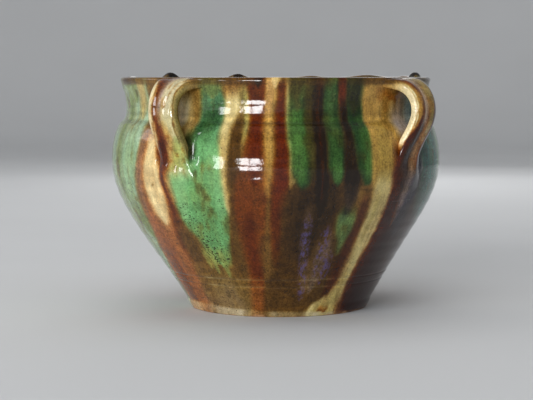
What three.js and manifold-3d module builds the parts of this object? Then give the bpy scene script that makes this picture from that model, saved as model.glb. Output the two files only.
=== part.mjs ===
// A glazed earthenware planter pot: a thrown body with a flared neck and a low waved lip,
// and four pulled strap handles luted to the lip and to the shoulder.
// Millimetres, +Z up. The origin is on the flat underside, below the middle of the belly, and
// +X and +Y point through two of the handles.

import * as THREE from 'three';
import { mergeVertices } from 'three/addons/utils/BufferGeometryUtils.js';
import Module from 'manifold-3d';

// Heights of the body: the whole pot, the foot band, and three stretches down from the top
const POT_HEIGHT = 203;
const FOOT_BAND_HEIGHT = 8.5;
const NECK_LENGTH = 27;
const SHOULDER_LENGTH = 12.5;
const UPPER_BELLY_LENGTH = 33.5;

// Radii of the body: the belly and the foot, and how far the others stand from them
const BELLY_RADIUS = 145.2;
const SHOULDER_INSET = 8.2;
const NECK_INSET = 5;
const RIM_FLARE = 4.8;
const FOOT_RADIUS = 79.2;
const FOOT_BAND_FLARE = 3;
const FOOT_CHAMFER = 1;

// The foot stands a little beside the middle of the belly, as it does on a hand-thrown pot
const FOOT_OFFSET = 3;
const FOOT_OFFSET_AZIMUTH = THREE.MathUtils.degToRad(36.5);
const FOOT_OFFSET_HEIGHT = 75;

// Wall and floor, and the lip, a rolled bead along the top of the wall
const WALL_THICKNESS = 7;
const FLOOR_THICKNESS = 9;
const FLOOR_CORNER_HEIGHT = 12;
const FLOOR_CORNER_REACH = 17;
const LIP_DEPTH = 5.2;
const LIP_THICKNESS = 7;
const LIP_OVERHANG = 0.9;

// How the wall bends between those points. A pull is where a curve's control point stands,
// as a share of its stretch, and the lean is the wall's slope at the shoulder.
const SHOULDER_LEAN = THREE.MathUtils.degToRad(41.5);
const LOWER_WALL_PULL = { out: 0.55, up: 0.48 };
const BELLY_PULL = { below: 0.28, above: 0.47 };
const SHOULDER_PULL = { below: 0.22, above: 0.36 };
const NECK_PULL = { below: 0.45, above: 0.35 };
const LIP_PULL = 0.3;

// The lip's crests: where each stands, in degrees from +X towards +Y, how high it rises and
// how far it reaches to each side. The wall rises with them over the crest depth.
const CREST_DEPTH = 14;
const LIP_CRESTS = [
  { at: 54, rise: 4.6, reach: 13 },
  { at: 63, rise: 1.1, reach: 13 },
  { at: 85.5, rise: 2.1, reach: 27 },
  { at: 111.5, rise: 1.3, reach: 15 },
  { at: 142.5, rise: 3.3, reach: 13 },
  { at: 174.5, rise: 4.4, reach: 14 },
  { at: 205, rise: 0.8, reach: 17 },
];

// The handles stand a quarter turn apart, as near as the potter set them, and the two at the
// front lean a little towards each other below. Degrees from +X towards +Y. Each is spread
// along the lip to its own root width.
const HANDLES = [
  { name: 'handle_right', azimuth: -0.7, lean: -3.2, rootWidth: 76 },
  { name: 'handle_back', azimuth: 90, lean: 0, rootWidth: 64 },
  { name: 'handle_left', azimuth: 180, lean: 0, rootWidth: 68 },
  { name: 'handle_front', azimuth: 270.3, lean: 1.4, rootWidth: 62 },
];

// The strap's path: how far it stands out beyond the body, how far below the top it stands out
// most, how far above the belly's middle it meets the wall, and how it fades down from there
const HANDLE_REACH = 15;
const HANDLE_BULGE_DROP = 30;
const HANDLE_TOP_DROP = 0.4;
const LOWER_JOINT_RISE = 6;
const LOWER_JOINT_SINK = 1.7;
const LOWER_FADE_LENGTH = 36;

// How the path bends: where its control points stand, as shares of each stretch, and how far
// out of the joint or into the wall they lie
const UPPER_BEND = { out: 0.55, up: 0.42 };
const LOWER_BEND = { down: 0.4, up: 0.33 };
const LOWER_BEND_OFFSET = 2.5;
const FADE_BEND = { upper: 0.33, lower: 0.7 };
const FADE_UPPER_DEPTH = 1.6;
const FADE_LOWER_DEPTH = 5;

// The strap's section, and its two roots
const STRAP_WIDTH = 26.4;
const STRAP_THICKNESS = 11.2;
const STRAP_GROOVE_DEPTH = 1.3;
const STRAP_EDGE_FALL = 1;
const FRONT_ROUNDING = 3.2;
const BACK_ROUNDING = 1.8;
const UPPER_ROOT_FLARE = 5;
const UPPER_ROOT_EDGE = 6.5;
const LOWER_ROOT_WIDTH = 33;
const LOWER_ROOT_FALL = 2.4;

// Half of the strap's front and back, from the middle outwards: the share of the half width,
// and the share of the corner's rounding that it has drawn back there
const FRONT_HALF = [[0.25, 0.05], [0.6, 0], [0.86, 0.16], [0.97, 0.5], [1, 1]];
const BACK_HALF = [[0.4, 0], [0.93, 0.11], [1, 1]];

// Room between two pieces of clay, which are luted together on the real pot
const JOINT_GAP = 0.3;

// Fineness of the faces
const BODY_SEGMENTS = 96;
const WALL_PIECES = [9, 5, 3, 3];
const LIP_PIECES = 3;
const STRAP_STATIONS = 24;

const RIM_RADIUS = BELLY_RADIUS - SHOULDER_INSET - NECK_INSET + RIM_FLARE;
const BELLY_HEIGHT = POT_HEIGHT - NECK_LENGTH - SHOULDER_LENGTH - UPPER_BELLY_LENGTH;
const UP = new THREE.Vector3(0, 0, 1);

const { smoothstep, lerp, degToRad } = THREE.MathUtils;
const wasm = await Module();
wasm.setup();

const at = (radius, height) => new THREE.Vector2(radius, height);

// The outside of the wall from the foot band to the underside of the lip, as four curves.
function wallCurves() {
  const neckHeight = POT_HEIGHT - NECK_LENGTH;
  const shoulderHeight = neckHeight - SHOULDER_LENGTH;
  const shoulderRadius = BELLY_RADIUS - SHOULDER_INSET;
  const neckRadius = shoulderRadius - NECK_INSET;
  const footBandRadius = FOOT_RADIUS + FOOT_BAND_FLARE;
  const lowerRise = BELLY_HEIGHT - FOOT_BAND_HEIGHT;
  const lipRadius = RIM_RADIUS - LIP_OVERHANG;
  const lipHeight = POT_HEIGHT - LIP_DEPTH;
  const neckRise = lipHeight - neckHeight;
  const shoulderLine = (length) => at(
    shoulderRadius - Math.sin(SHOULDER_LEAN) * length,
    shoulderHeight + Math.cos(SHOULDER_LEAN) * length,
  );
  return [
    new THREE.CubicBezierCurve(
      at(footBandRadius, FOOT_BAND_HEIGHT),
      at(
        lerp(footBandRadius, BELLY_RADIUS, LOWER_WALL_PULL.out),
        FOOT_BAND_HEIGHT + lowerRise * LOWER_WALL_PULL.up,
      ),
      at(BELLY_RADIUS, BELLY_HEIGHT - lowerRise * BELLY_PULL.below),
      at(BELLY_RADIUS, BELLY_HEIGHT),
    ),
    new THREE.CubicBezierCurve(
      at(BELLY_RADIUS, BELLY_HEIGHT),
      at(BELLY_RADIUS, BELLY_HEIGHT + UPPER_BELLY_LENGTH * BELLY_PULL.above),
      shoulderLine(-UPPER_BELLY_LENGTH * SHOULDER_PULL.below),
      shoulderLine(0),
    ),
    new THREE.CubicBezierCurve(
      shoulderLine(0),
      shoulderLine(SHOULDER_LENGTH * SHOULDER_PULL.above),
      at(neckRadius, neckHeight - SHOULDER_LENGTH * NECK_PULL.below),
      at(neckRadius, neckHeight),
    ),
    new THREE.CubicBezierCurve(
      at(neckRadius, neckHeight),
      at(neckRadius, neckHeight + neckRise * NECK_PULL.above),
      at(lipRadius - LIP_OVERHANG, lipHeight - neckRise * LIP_PULL),
      at(lipRadius, lipHeight),
    ),
  ];
}

// The wall's line, moved outwards by a distance along its own normal.
function wallPoints(distance) {
  const points = [];
  wallCurves().forEach((curve, index) => {
    const pieces = WALL_PIECES[index];
    for (let i = index === 0 ? 0 : 1; i <= pieces; i += 1) {
      const point = curve.getPoint(i / pieces);
      const tangent = curve.getTangent(i / pieces);
      points.push(at(point.x + tangent.y * distance, point.y - tangent.x * distance));
    }
  });
  return points;
}

// The round bead of the lip: its outer half, from the side to the top, and its inner half.
function lipPoints(distance) {
  const top = POT_HEIGHT + distance;
  const outside = RIM_RADIUS + distance;
  const inside = RIM_RADIUS - LIP_THICKNESS - distance;
  const crown = RIM_RADIUS - LIP_THICKNESS / 2;
  const side = POT_HEIGHT - LIP_DEPTH / 2;
  const over = new THREE.QuadraticBezierCurve(at(outside, side), at(outside, top), at(crown, top));
  const back = new THREE.QuadraticBezierCurve(at(crown, top), at(inside, top), at(inside, side));
  return { outer: over.getPoints(LIP_PIECES), inner: back.getPoints(LIP_PIECES).slice(1) };
}

// The foot, from the middle of the flat underside to its chamfered edge.
function footPoints(distance) {
  return [
    at(0, -distance),
    at(FOOT_RADIUS - FOOT_CHAMFER + distance, -distance),
    at(FOOT_RADIUS + distance, FOOT_CHAMFER),
  ];
}

// How far the lip rises at an azimuth in radians. Each crest is one arch of a squared cosine.
function crestRise(azimuth) {
  let rise = 0;
  for (const crest of LIP_CRESTS) {
    const turn = azimuth - degToRad(crest.at);
    const arc = Math.abs(Math.atan2(Math.sin(turn), Math.cos(turn))) * RIM_RADIUS;
    const share = Math.min(1, arc / crest.reach);
    rise = Math.max(rise, crest.rise * Math.cos(share * Math.PI / 2) ** 2);
  }
  return rise;
}

// Turns an outline into a solid of revolution, lifts its lip along the crests and moves its
// foot aside.
function throwOnWheel(outline) {
  const geometry = new THREE.LatheGeometry(outline, BODY_SEGMENTS);
  geometry.rotateX(Math.PI / 2);
  const position = geometry.attributes.position;
  for (let i = 0; i < position.count; i += 1) {
    const x = position.getX(i);
    const y = position.getY(i);
    const z = position.getZ(i);
    const nearLip = smoothstep(z, POT_HEIGHT - CREST_DEPTH, POT_HEIGHT);
    const onAxis = Math.hypot(x, y) < FOOT_CHAMFER;
    const aside = FOOT_OFFSET * (1 - smoothstep(z, 0, FOOT_OFFSET_HEIGHT));
    position.setXYZ(
      i,
      x + aside * Math.cos(FOOT_OFFSET_AZIMUTH),
      y + aside * Math.sin(FOOT_OFFSET_AZIMUTH),
      onAxis ? z : z + nearLip * crestRise(Math.atan2(y, x)),
    );
  }
  return geometry;
}

// The body's outline, up the outside, over the lip and down the inside to the floor.
function bodyOutline() {
  const lip = lipPoints(0);
  const inner = wallPoints(-WALL_THICKNESS)
    .filter((point) => point.y > FLOOR_THICKNESS + FLOOR_CORNER_HEIGHT)
    .reverse();
  const [before, last] = inner.slice(-2);
  const slope = (before.x - last.x) / (before.y - last.y);
  const bend = last.x - slope * (last.y - FLOOR_THICKNESS);
  const corner = new THREE.QuadraticBezierCurve(
    last,
    at(bend, FLOOR_THICKNESS),
    at(bend - FLOOR_CORNER_REACH, FLOOR_THICKNESS),
  );
  return [
    ...footPoints(0),
    ...wallPoints(0),
    ...lip.outer,
    ...lip.inner,
    ...inner,
    ...corner.getPoints(3).slice(1),
    at(0, FLOOR_THICKNESS),
  ];
}

// The space that the body takes, filled in, with the joint gap around it.
function clearanceOutline() {
  return [
    ...footPoints(JOINT_GAP),
    ...wallPoints(JOINT_GAP),
    ...lipPoints(JOINT_GAP).outer,
    at(0, POT_HEIGHT + JOINT_GAP),
  ];
}

// The middle line of a strap in its own radial plane: straight out from the lip, round and
// down to the shoulder, and into the wall.
function strapPath() {
  const half = STRAP_THICKNESS / 2;
  const topHeight = POT_HEIGHT - HANDLE_TOP_DROP - half;
  const bulgeRadius = Math.max(BELLY_RADIUS, RIM_RADIUS) + HANDLE_REACH - half;
  const bulgeHeight = POT_HEIGHT - HANDLE_BULGE_DROP;
  const jointRadius = BELLY_RADIUS - LOWER_JOINT_SINK;
  const jointHeight = BELLY_HEIGHT + LOWER_JOINT_RISE;
  const run = bulgeRadius - RIM_RADIUS;
  const drop = bulgeHeight - jointHeight;
  const path = new THREE.Path();
  path.moveTo(RIM_RADIUS - LIP_THICKNESS, topHeight);
  path.lineTo(RIM_RADIUS, topHeight);
  path.bezierCurveTo(
    RIM_RADIUS + run * UPPER_BEND.out, topHeight,
    bulgeRadius, lerp(bulgeHeight, topHeight, UPPER_BEND.up),
    bulgeRadius, bulgeHeight,
  );
  path.bezierCurveTo(
    bulgeRadius, bulgeHeight - drop * LOWER_BEND.down,
    jointRadius + LOWER_BEND_OFFSET, jointHeight + drop * LOWER_BEND.up,
    jointRadius, jointHeight,
  );
  path.bezierCurveTo(
    jointRadius - FADE_UPPER_DEPTH, jointHeight - LOWER_FADE_LENGTH * FADE_BEND.upper,
    jointRadius - FADE_LOWER_DEPTH, jointHeight - LOWER_FADE_LENGTH * FADE_BEND.lower,
    jointRadius - WALL_THICKNESS - half, jointHeight - LOWER_FADE_LENGTH,
  );
  return path;
}

// The outline across the strap as pairs of across and out: a front of two soft ridges with a
// groove between them, and a flat back. The upper root is thinner towards its ends, and the
// lower root is domed, so that its edges sink into the body first.
function strapSection(width, upper, lower) {
  const half = STRAP_THICKNESS / 2;
  const groove = STRAP_GROOVE_DEPTH * (1 - upper) * (1 - lower);
  const fall = STRAP_EDGE_FALL + LOWER_ROOT_FALL * lower;
  const thinning = (STRAP_THICKNESS - UPPER_ROOT_EDGE) * upper;
  const front = FRONT_HALF.map(([share, drawn]) => [
    share * width / 2,
    half - FRONT_ROUNDING * drawn - fall * share ** 2,
  ]);
  const back = BACK_HALF.map(([share, drawn]) => [
    share * width / 2,
    -half + BACK_ROUNDING * drawn + thinning * share,
  ]);
  const mirror = ([across, out]) => [-across, out];
  return [
    ...front.map(mirror).reverse(),
    [0, half - groove],
    ...front,
    ...[...back].reverse(),
    ...back.map(mirror),
  ];
}

// A strap lofted along its path, for an azimuth of 0. The lean, in radians, carries its lower
// end sideways round the body.
function strapGeometry(lean, rootWidth) {
  const path = strapPath();
  const length = path.getLength();
  const vertices = [];
  const triangles = [];
  let ring = 0;
  for (let i = 0; i <= STRAP_STATIONS; i += 1) {
    const u = i / STRAP_STATIONS;
    const middle = path.getPointAt(u);
    const tangent = path.getTangentAt(u);
    const beyondRim = Math.max(0, middle.x - RIM_RADIUS);
    const upper = u < 0.5 ? Math.exp(-beyondRim / UPPER_ROOT_FLARE) : 0;
    const lower = smoothstep(u * length, length - LOWER_FADE_LENGTH * 1.5, length);
    const width = STRAP_WIDTH
      + (rootWidth - STRAP_WIDTH) * upper
      + (LOWER_ROOT_WIDTH - STRAP_WIDTH) * Math.min(1, lower * 2);
    const turn = lean * (1 - smoothstep(
      middle.y,
      BELLY_HEIGHT + LOWER_JOINT_RISE,
      POT_HEIGHT - HANDLE_BULGE_DROP,
    ));
    const section = strapSection(width, upper, lower);
    ring = section.length;
    for (const [across, out] of section) {
      const point = new THREE.Vector3(
        middle.x - tangent.y * out,
        across,
        middle.y + tangent.x * out,
      );
      point.applyAxisAngle(UP, turn);
      vertices.push(point.x, point.y, point.z);
    }
  }
  for (let i = 0; i < STRAP_STATIONS; i += 1) {
    for (let j = 0; j < ring; j += 1) {
      const a = i * ring + j;
      const b = i * ring + ((j + 1) % ring);
      triangles.push(a, a + ring, b, b, a + ring, b + ring);
    }
  }
  const last = STRAP_STATIONS * ring;
  for (let j = 1; j < ring - 1; j += 1) {
    triangles.push(0, j, j + 1);
    triangles.push(last, last + j + 1, last + j);
  }
  const geometry = new THREE.BufferGeometry();
  geometry.setAttribute('position', new THREE.Float32BufferAttribute(vertices, 3));
  geometry.setIndex(triangles);
  return geometry;
}

// A closed three.js geometry as a solid that can be cut.
function toSolid(geometry) {
  const bare = geometry.clone();
  bare.deleteAttribute('normal');
  bare.deleteAttribute('uv');
  const merged = mergeVertices(bare);
  return new wasm.Manifold(new wasm.Mesh({
    numProp: 3,
    vertProperties: merged.attributes.position.array,
    triVerts: new Uint32Array(merged.index.array),
  }));
}

// A cut solid as a three.js geometry.
function toGeometry(solid) {
  const mesh = solid.getMesh();
  const geometry = new THREE.BufferGeometry();
  geometry.setAttribute('position', new THREE.Float32BufferAttribute(mesh.vertProperties, 3));
  geometry.setIndex([...mesh.triVerts]);
  geometry.computeVertexNormals();
  return geometry;
}

const bodyGlaze = new THREE.MeshStandardMaterial({ color: 0x6b5a26, roughness: 0.12, metalness: 0 });
const handleGlaze = new THREE.MeshStandardMaterial({ color: 0xa8853c, roughness: 0.12, metalness: 0 });

const pot = new THREE.Group();

const body = new THREE.Mesh(throwOnWheel(bodyOutline()), bodyGlaze);
body.name = 'pot_body';
pot.add(body);

const clearance = toSolid(throwOnWheel(clearanceOutline()));

for (const handle of HANDLES) {
  const strap = toSolid(strapGeometry(degToRad(handle.lean), handle.rootWidth));
  const placed = strap.rotate([0, 0, handle.azimuth]);
  const mesh = new THREE.Mesh(toGeometry(placed.subtract(clearance)), handleGlaze);
  mesh.name = handle.name;
  pot.add(mesh);
}

export default pot;
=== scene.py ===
"""A glazed earthenware planter: a thrown pot with four strap handles under runs of coloured glaze."""

import math
from functools import partial

import bpy
import numpy as np
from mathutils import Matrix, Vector


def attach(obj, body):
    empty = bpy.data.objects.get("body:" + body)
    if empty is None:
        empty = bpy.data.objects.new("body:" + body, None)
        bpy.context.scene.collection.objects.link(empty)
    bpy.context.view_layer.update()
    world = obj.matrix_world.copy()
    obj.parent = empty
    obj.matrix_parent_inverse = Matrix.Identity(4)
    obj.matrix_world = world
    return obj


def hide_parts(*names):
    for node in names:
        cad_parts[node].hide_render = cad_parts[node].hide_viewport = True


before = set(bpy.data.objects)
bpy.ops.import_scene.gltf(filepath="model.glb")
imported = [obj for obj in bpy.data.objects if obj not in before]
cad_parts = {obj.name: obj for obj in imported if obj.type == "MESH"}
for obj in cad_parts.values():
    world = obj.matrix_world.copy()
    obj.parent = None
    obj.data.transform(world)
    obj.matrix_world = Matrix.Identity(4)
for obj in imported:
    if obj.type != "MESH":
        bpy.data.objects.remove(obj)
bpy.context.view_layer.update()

# The body is one thrown pot of buff earthenware. Its wall is drawn up from a narrow foot, bellied,
# turned in at a shoulder and out again at the neck, and its edge is rolled into a lip whose soft
# crests were left by the potter's finger.

POT_HEIGHT = 203.0
FOOT_BAND_HEIGHT = 8.5
BELLY_HEIGHT = 130.0
SHOULDER_HEIGHT = 163.5
NECK_HEIGHT = 176.0
LIP_HEIGHT = 197.8
FOOT_RADIUS = 79.2
FOOT_BAND_RADIUS = 82.2
BELLY_RADIUS = 145.2
SHOULDER_RADIUS = 137.0
NECK_RADIUS = 132.0
LIP_RADIUS = 135.9
RIM_RADIUS = 136.8
LIP_THICKNESS = 7.0
WALL_THICKNESS = 7.0
FLOOR_THICKNESS = 9.0
FOOT_ROUNDING = 1.4
RIM_ROUNDING = 2.6
FLOOR_ROUNDING = 17.0
FLOOR_CURVE_HEIGHT = 12.0
SHOULDER_LEAN = math.radians(41.5)
FOOT_OFFSET = 3.0
FOOT_OFFSET_TURN = math.radians(36.5)
FOOT_OFFSET_HEIGHT = 75.0
CREST_DEPTH = 14.0
# The crests: where each stands in degrees, how high it rises and how far it reaches
LIP_CRESTS = np.array([
    (54.0, 4.6, 10.5), (63.0, 1.1, 13.0), (85.5, 2.1, 27.0), (111.5, 1.3, 15.0),
    (142.5, 3.3, 11.0), (174.5, 4.4, 11.0), (205.0, 0.8, 17.0),
])
# Smears left where the straps were luted on, and two wipes of a finger: turn, height, half width,
# half height, rise
SMEARS = np.array([
    (279.4, 138.0, 3.0, 6.0, 1.3), (276.8, 121.5, 3.4, 2.4, 0.8), (262.6, 133.0, 3.2, 7.0, 0.9),
    (350.2, 134.0, 3.0, 6.0, 1.0), (3.4, 130.0, 3.6, 5.0, 0.9), (97.6, 135.0, 3.0, 6.0, 1.1),
    (82.8, 127.0, 4.0, 4.0, 0.8), (187.4, 132.0, 3.4, 6.5, 1.0), (172.0, 137.0, 3.0, 5.0, 1.0),
    (301.5, 120.6, 9.0, 2.0, 0.42), (141.0, 126.0, 9.0, 1.8, 0.24),
])
# Rings pressed in below the neck, and lines scored above the foot: height, half height, depth
PRESSED_RINGS = [(165.4, 1.6, 0.2), (171.6, 1.6, 0.1)]
SCORED_LINES = [(33.6, 0.62, 0.55), (27.1, 0.6, 0.45)]
# The rings that the fingers left: how far they stand, their pitch, which way they climb, their start
THROWING_RINGS = [(0.15, 10.4, 1.0, 0.0), (0.08, 6.3, -1.0, 1.3)]
# How far apart the mesh's rows lie on the wall from each height upwards, closest at those lines
ROW_SPACINGS = [
    (0.0, 2.3), (25.6, 0.42), (28.6, 1.6), (32.0, 0.42), (35.2, 2.6), (162.0, 1.5), (176.0, 2.3),
]
COLUMNS = 620
LATTICE_ROWS = 97
UNDERSIDE, OUTSIDE, INSIDE = range(3)


def ease(share):
    """The smooth step 3t² - 2t³, held at 0 and 1 outside that span."""
    share = np.clip(share, 0.0, 1.0)
    return share * share * (3.0 - 2.0 * share)


def bell(value, middle, width):
    """The bell curve e to the power -((value - middle) / width)²."""
    return np.exp(-(((value - middle) / width) ** 2))


def bend(points, count):
    """A Bezier curve: each point is the sum of the control points times their binomial shares."""
    points = np.array(points, float)
    last = len(points) - 1
    t = np.linspace(0.0, 1.0, count)[:, None]
    shares = [math.comb(last, k) * t**k * (1.0 - t) ** (last - k) for k in range(last + 1)]
    return sum(share * point for share, point in zip(shares, points))


def along(line, count=None, spacing=1.0):
    """The line sampled again at equal lengths: that many points, or as near that spacing as
    divides it evenly."""
    run = np.concatenate([[0.0], np.cumsum(np.hypot(*np.diff(line, axis=0).T))])
    at = np.linspace(0.0, run[-1], count or max(2, round(run[-1] / spacing) + 1))
    return np.stack([np.interp(at, run, line[:, 0]), np.interp(at, run, line[:, 1])], axis=1)


def tangents(line):
    """The line's direction at each point, as steps of length 1."""
    step = np.gradient(line, axis=0)
    return step / np.hypot(*step.T)[:, None]


def wall_line():
    """The outside of the wall as radius and height: four curves end to end, from the foot band
    over belly, shoulder and neck to the underside of the lip. They run straight up through belly
    and neck and lean inwards through the shoulder."""
    foot = np.array((FOOT_BAND_RADIUS, FOOT_BAND_HEIGHT))
    belly = np.array((BELLY_RADIUS, BELLY_HEIGHT))
    shoulder = np.array((SHOULDER_RADIUS, SHOULDER_HEIGHT))
    neck = np.array((NECK_RADIUS, NECK_HEIGHT))
    lip = np.array((LIP_RADIUS, LIP_HEIGHT))
    up = np.array((0.0, 1.0))
    lean = np.array((-math.sin(SHOULDER_LEAN), math.cos(SHOULDER_LEAN)))
    rise = np.diff([FOOT_BAND_HEIGHT, BELLY_HEIGHT, SHOULDER_HEIGHT, NECK_HEIGHT, LIP_HEIGHT])
    out = (belly - foot) * (0.55, 0.48)
    return np.concatenate([
        bend([foot, foot + out, belly - up * rise[0] * 0.28, belly], 400),
        bend([belly, belly + up * rise[1] * 0.47, shoulder - lean * rise[1] * 0.22, shoulder], 200)[1:],
        bend([shoulder, shoulder + lean * rise[2] * 0.36, neck - up * rise[2] * 0.74, neck], 100)[1:],
        bend([neck, neck + up * rise[3] * 0.58, lip - (0.9, rise[3] * 0.3), lip], 150)[1:],
    ])


WALL = wall_line()


def wall_radius(height):
    """The radius of the outside of the wall at a height."""
    return np.interp(height, WALL[:, 1], WALL[:, 0])


def inner_line():
    """The inside of the wall from the lip down: the outside moved in by the wall's thickness
    along its normal."""
    along_wall = tangents(WALL)
    inner = WALL + np.stack([-along_wall[:, 1], along_wall[:, 0]], axis=1) * WALL_THICKNESS
    return inner[inner[:, 1] > FLOOR_THICKNESS + FLOOR_CURVE_HEIGHT][::-1]


def pot_outline():
    """The pot's outline from the middle of the underside, up the outside, over the lip and down
    the inside to the middle of the floor, and which of its sides each point is on."""
    foot_edge = FOOT_RADIUS - FOOT_ROUNDING
    crown = RIM_RADIUS - LIP_THICKNESS / 2
    edge = POT_HEIGHT - RIM_ROUNDING
    inside = RIM_RADIUS - LIP_THICKNESS
    inner = inner_line()
    last = inner[-1]
    slope = (inner[-9, 0] - last[0]) / (inner[-9, 1] - last[1])
    corner = last[0] - slope * (last[1] - FLOOR_THICKNESS)
    floor_edge = corner - FLOOR_ROUNDING
    ends = [low for low, _ in ROW_SPACINGS[1:]] + [POT_HEIGHT]
    wall = [(WALL[(WALL[:, 1] >= low) & (WALL[:, 1] < high)], spacing)
            for (low, spacing), high in zip(ROW_SPACINGS, ends)]
    parts = {
        UNDERSIDE: [(np.array([(14.0, 0.0), (foot_edge, 0.0)]), 16.0)],
        OUTSIDE: [
            (bend([(foot_edge, 0.0), (FOOT_RADIUS, 0.0), (FOOT_RADIUS + 0.15, 1.2)], 20), 0.9),
            (bend([(FOOT_RADIUS + 0.2, 1.4), (FOOT_BAND_RADIUS + 0.2, FOOT_BAND_HEIGHT - 2.2),
                   (FOOT_BAND_RADIUS, FOOT_BAND_HEIGHT)], 40), 1.2),
            *wall,
            (bend([(RIM_RADIUS, edge), (RIM_RADIUS, POT_HEIGHT), (crown, POT_HEIGHT)], 30), 0.95),
        ],
        INSIDE: [
            (bend([(crown, POT_HEIGHT), (inside, POT_HEIGHT), (inside, edge)], 30), 1.2),
            (inner, 10.5),
            (bend([last, (corner, FLOOR_THICKNESS), (floor_edge, FLOOR_THICKNESS)], 40), 5.5),
            (np.array([(floor_edge, FLOOR_THICKNESS), (12.0, FLOOR_THICKNESS)]), 16.0),
        ],
    }
    rows = []
    sides = []
    for side, lines in parts.items():
        for line, spacing in lines:
            part = along(line, spacing=spacing)
            if rows and np.hypot(*(part[0] - rows[-1][-1])) < spacing * 0.35:
                part = part[1:]
            rows.append(part)
            sides.append(np.full(len(part), side))
    return np.concatenate(rows), np.concatenate(sides)


def drift(turn, height, cells, tall, seed):
    """Smooth random values from -1 to 1 over the wall. Random numbers stand on a lattice of that
    many cells round the pot and that many millimetres up it, and each point takes the eased mean
    of the four round it."""
    lattice = np.random.default_rng(seed).uniform(-1.0, 1.0, (LATTICE_ROWS, cells))
    across = (turn % 360.0) / 360.0 * cells
    up = height / tall + 40.0
    column = np.floor(across).astype(int)
    row = np.floor(up).astype(int)
    right = ease(across - column)
    above = ease(up - row)
    row = np.stack([row, row + 1]) % LATTICE_ROWS
    low, high = lattice[row, column % cells] * (1 - right) + lattice[row, (column + 1) % cells] * right
    return low * (1 - above) + high * above


def half_turns(turn):
    """The same turn as a number of degrees from -180 to 180."""
    return (turn + 180.0) % 360.0 - 180.0


def crest_rise(turn):
    """How far the lip rises there: each crest is one arch of a cosine to the power 1.4, and the
    highest counts."""
    away = half_turns(turn[:, None] - LIP_CRESTS[:, 0])
    share = np.minimum(1.0, np.abs(np.radians(away)) * RIM_RADIUS / LIP_CRESTS[:, 2])
    return (LIP_CRESTS[:, 1] * np.cos(share * math.pi / 2).clip(0.0) ** 1.4).max(axis=1)


def throwing(turn, height):
    """How far the wall stands in or out there: helical rings that climb one pitch a turn, a slow
    unevenness of the hand, two rings pressed in below the neck, two lines scored with a tool above
    the foot, and the smears beside the straps, each a bell curve across and up."""
    rings = sum(
        rise * np.sin(2 * math.pi * (height / pitch + way * turn / 360.0) + start)
        for rise, pitch, way, start in THROWING_RINGS
    )
    rings = rings * ease((height - 10.0) / 20.0) * ease((LIP_HEIGHT - height) / 10.0)
    rings = rings * (1.0 - 0.6 * bell(height, NECK_HEIGHT, 7.0)) * (1.0 - 0.7 * bell(height, 144.0, 8.0))
    hand = 0.3 * drift(turn, height, 9, 45.0, 3) + 0.07 * drift(turn, height, 44, 17.0, 5)
    hand = hand * ease(height / 30.0)
    hand = hand + 0.13 * drift(turn, height, 110, 6.0, 7) * ease((height - 172.0) / 8.0)
    wander = 0.3 * drift(turn, height * 0.0, 9, 20.0, 4)
    stand = rings + hand
    for level, half, deep in PRESSED_RINGS:
        stand = stand - deep * bell(height, level, half)
    for level, half, deep in SCORED_LINES:
        stand = stand - deep * bell(height - wander, level, half)
    for place, level, half, tall, rise in SMEARS:
        away = np.radians(half_turns(turn - place)) * wall_radius(height)
        stand = stand + rise * bell(away, 0.0, half) * bell(height, level, tall)
    return stand


def pot_point(turn, radius, height, aside):
    """A point on the pot in metres from its turn in degrees, radius and height in millimetres,
    and how far the foot stands aside there."""
    angle = np.radians(turn)
    return np.stack([
        radius * np.cos(angle) + aside * math.cos(FOOT_OFFSET_TURN),
        radius * np.sin(angle) + aside * math.sin(FOOT_OFFSET_TURN),
        height,
    ], axis=-1) / 1000.0


def ring_faces(rows, around):
    """The four-cornered faces between rings of points that lie in rows, each ring closed."""
    row = np.arange(rows - 1)[:, None] * around
    here = row + np.arange(around)
    beside = row + (np.arange(around) + 1) % around
    return np.stack([here, beside, beside + around, here + around], axis=-1).reshape(-1, 4)


def fan(middle, start, around):
    """The triangles from a middle point to the ring that begins at a start."""
    first = np.arange(around)
    return np.stack([np.full(around, middle), start + first, start + (first + 1) % around], axis=1)


outline, side_of = pot_outline()
rows = len(outline)
turn = np.tile(np.arange(COLUMNS) * 360.0 / COLUMNS, rows)
flat_height = np.repeat(outline[:, 1], COLUMNS)
side = np.repeat(side_of, COLUMNS)
relief = np.where(side == OUTSIDE, throwing(turn, flat_height), 0.0)
lift = ease((flat_height - POT_HEIGHT + CREST_DEPTH) / CREST_DEPTH) * crest_rise(turn)
aside = FOOT_OFFSET * (1.0 - ease(flat_height / FOOT_OFFSET_HEIGHT))
points = np.concatenate([
    pot_point(turn, np.repeat(outline[:, 0], COLUMNS) + relief, flat_height + lift, aside),
    pot_point(np.zeros(2), np.zeros(2), np.array([0.0, FLOOR_THICKNESS]), np.full(2, FOOT_OFFSET)),
])
faces = [
    ring_faces(rows, COLUMNS),
    fan(rows * COLUMNS, 0, COLUMNS)[:, [0, 2, 1]],
    fan(rows * COLUMNS + 1, (rows - 1) * COLUMNS, COLUMNS),
]

# The glaze was poured and dabbed on as thick lead slips, and they ran down the wall together in the
# kiln. It coats the inside too, and stops in a roll just above the foot.

# The middle of the side between handle_front and handle_right, from which the runs' turns count
GLAZE_FACE = 306.5


def linear(colour):
    """An sRGB hex colour as linear light."""
    values = np.array([int(colour[i:i + 2], 16) for i in (1, 3, 5)]) / 255.0
    return np.where(values <= 0.04045, values / 12.92, ((values + 0.055) / 1.055) ** 2.4)


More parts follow.
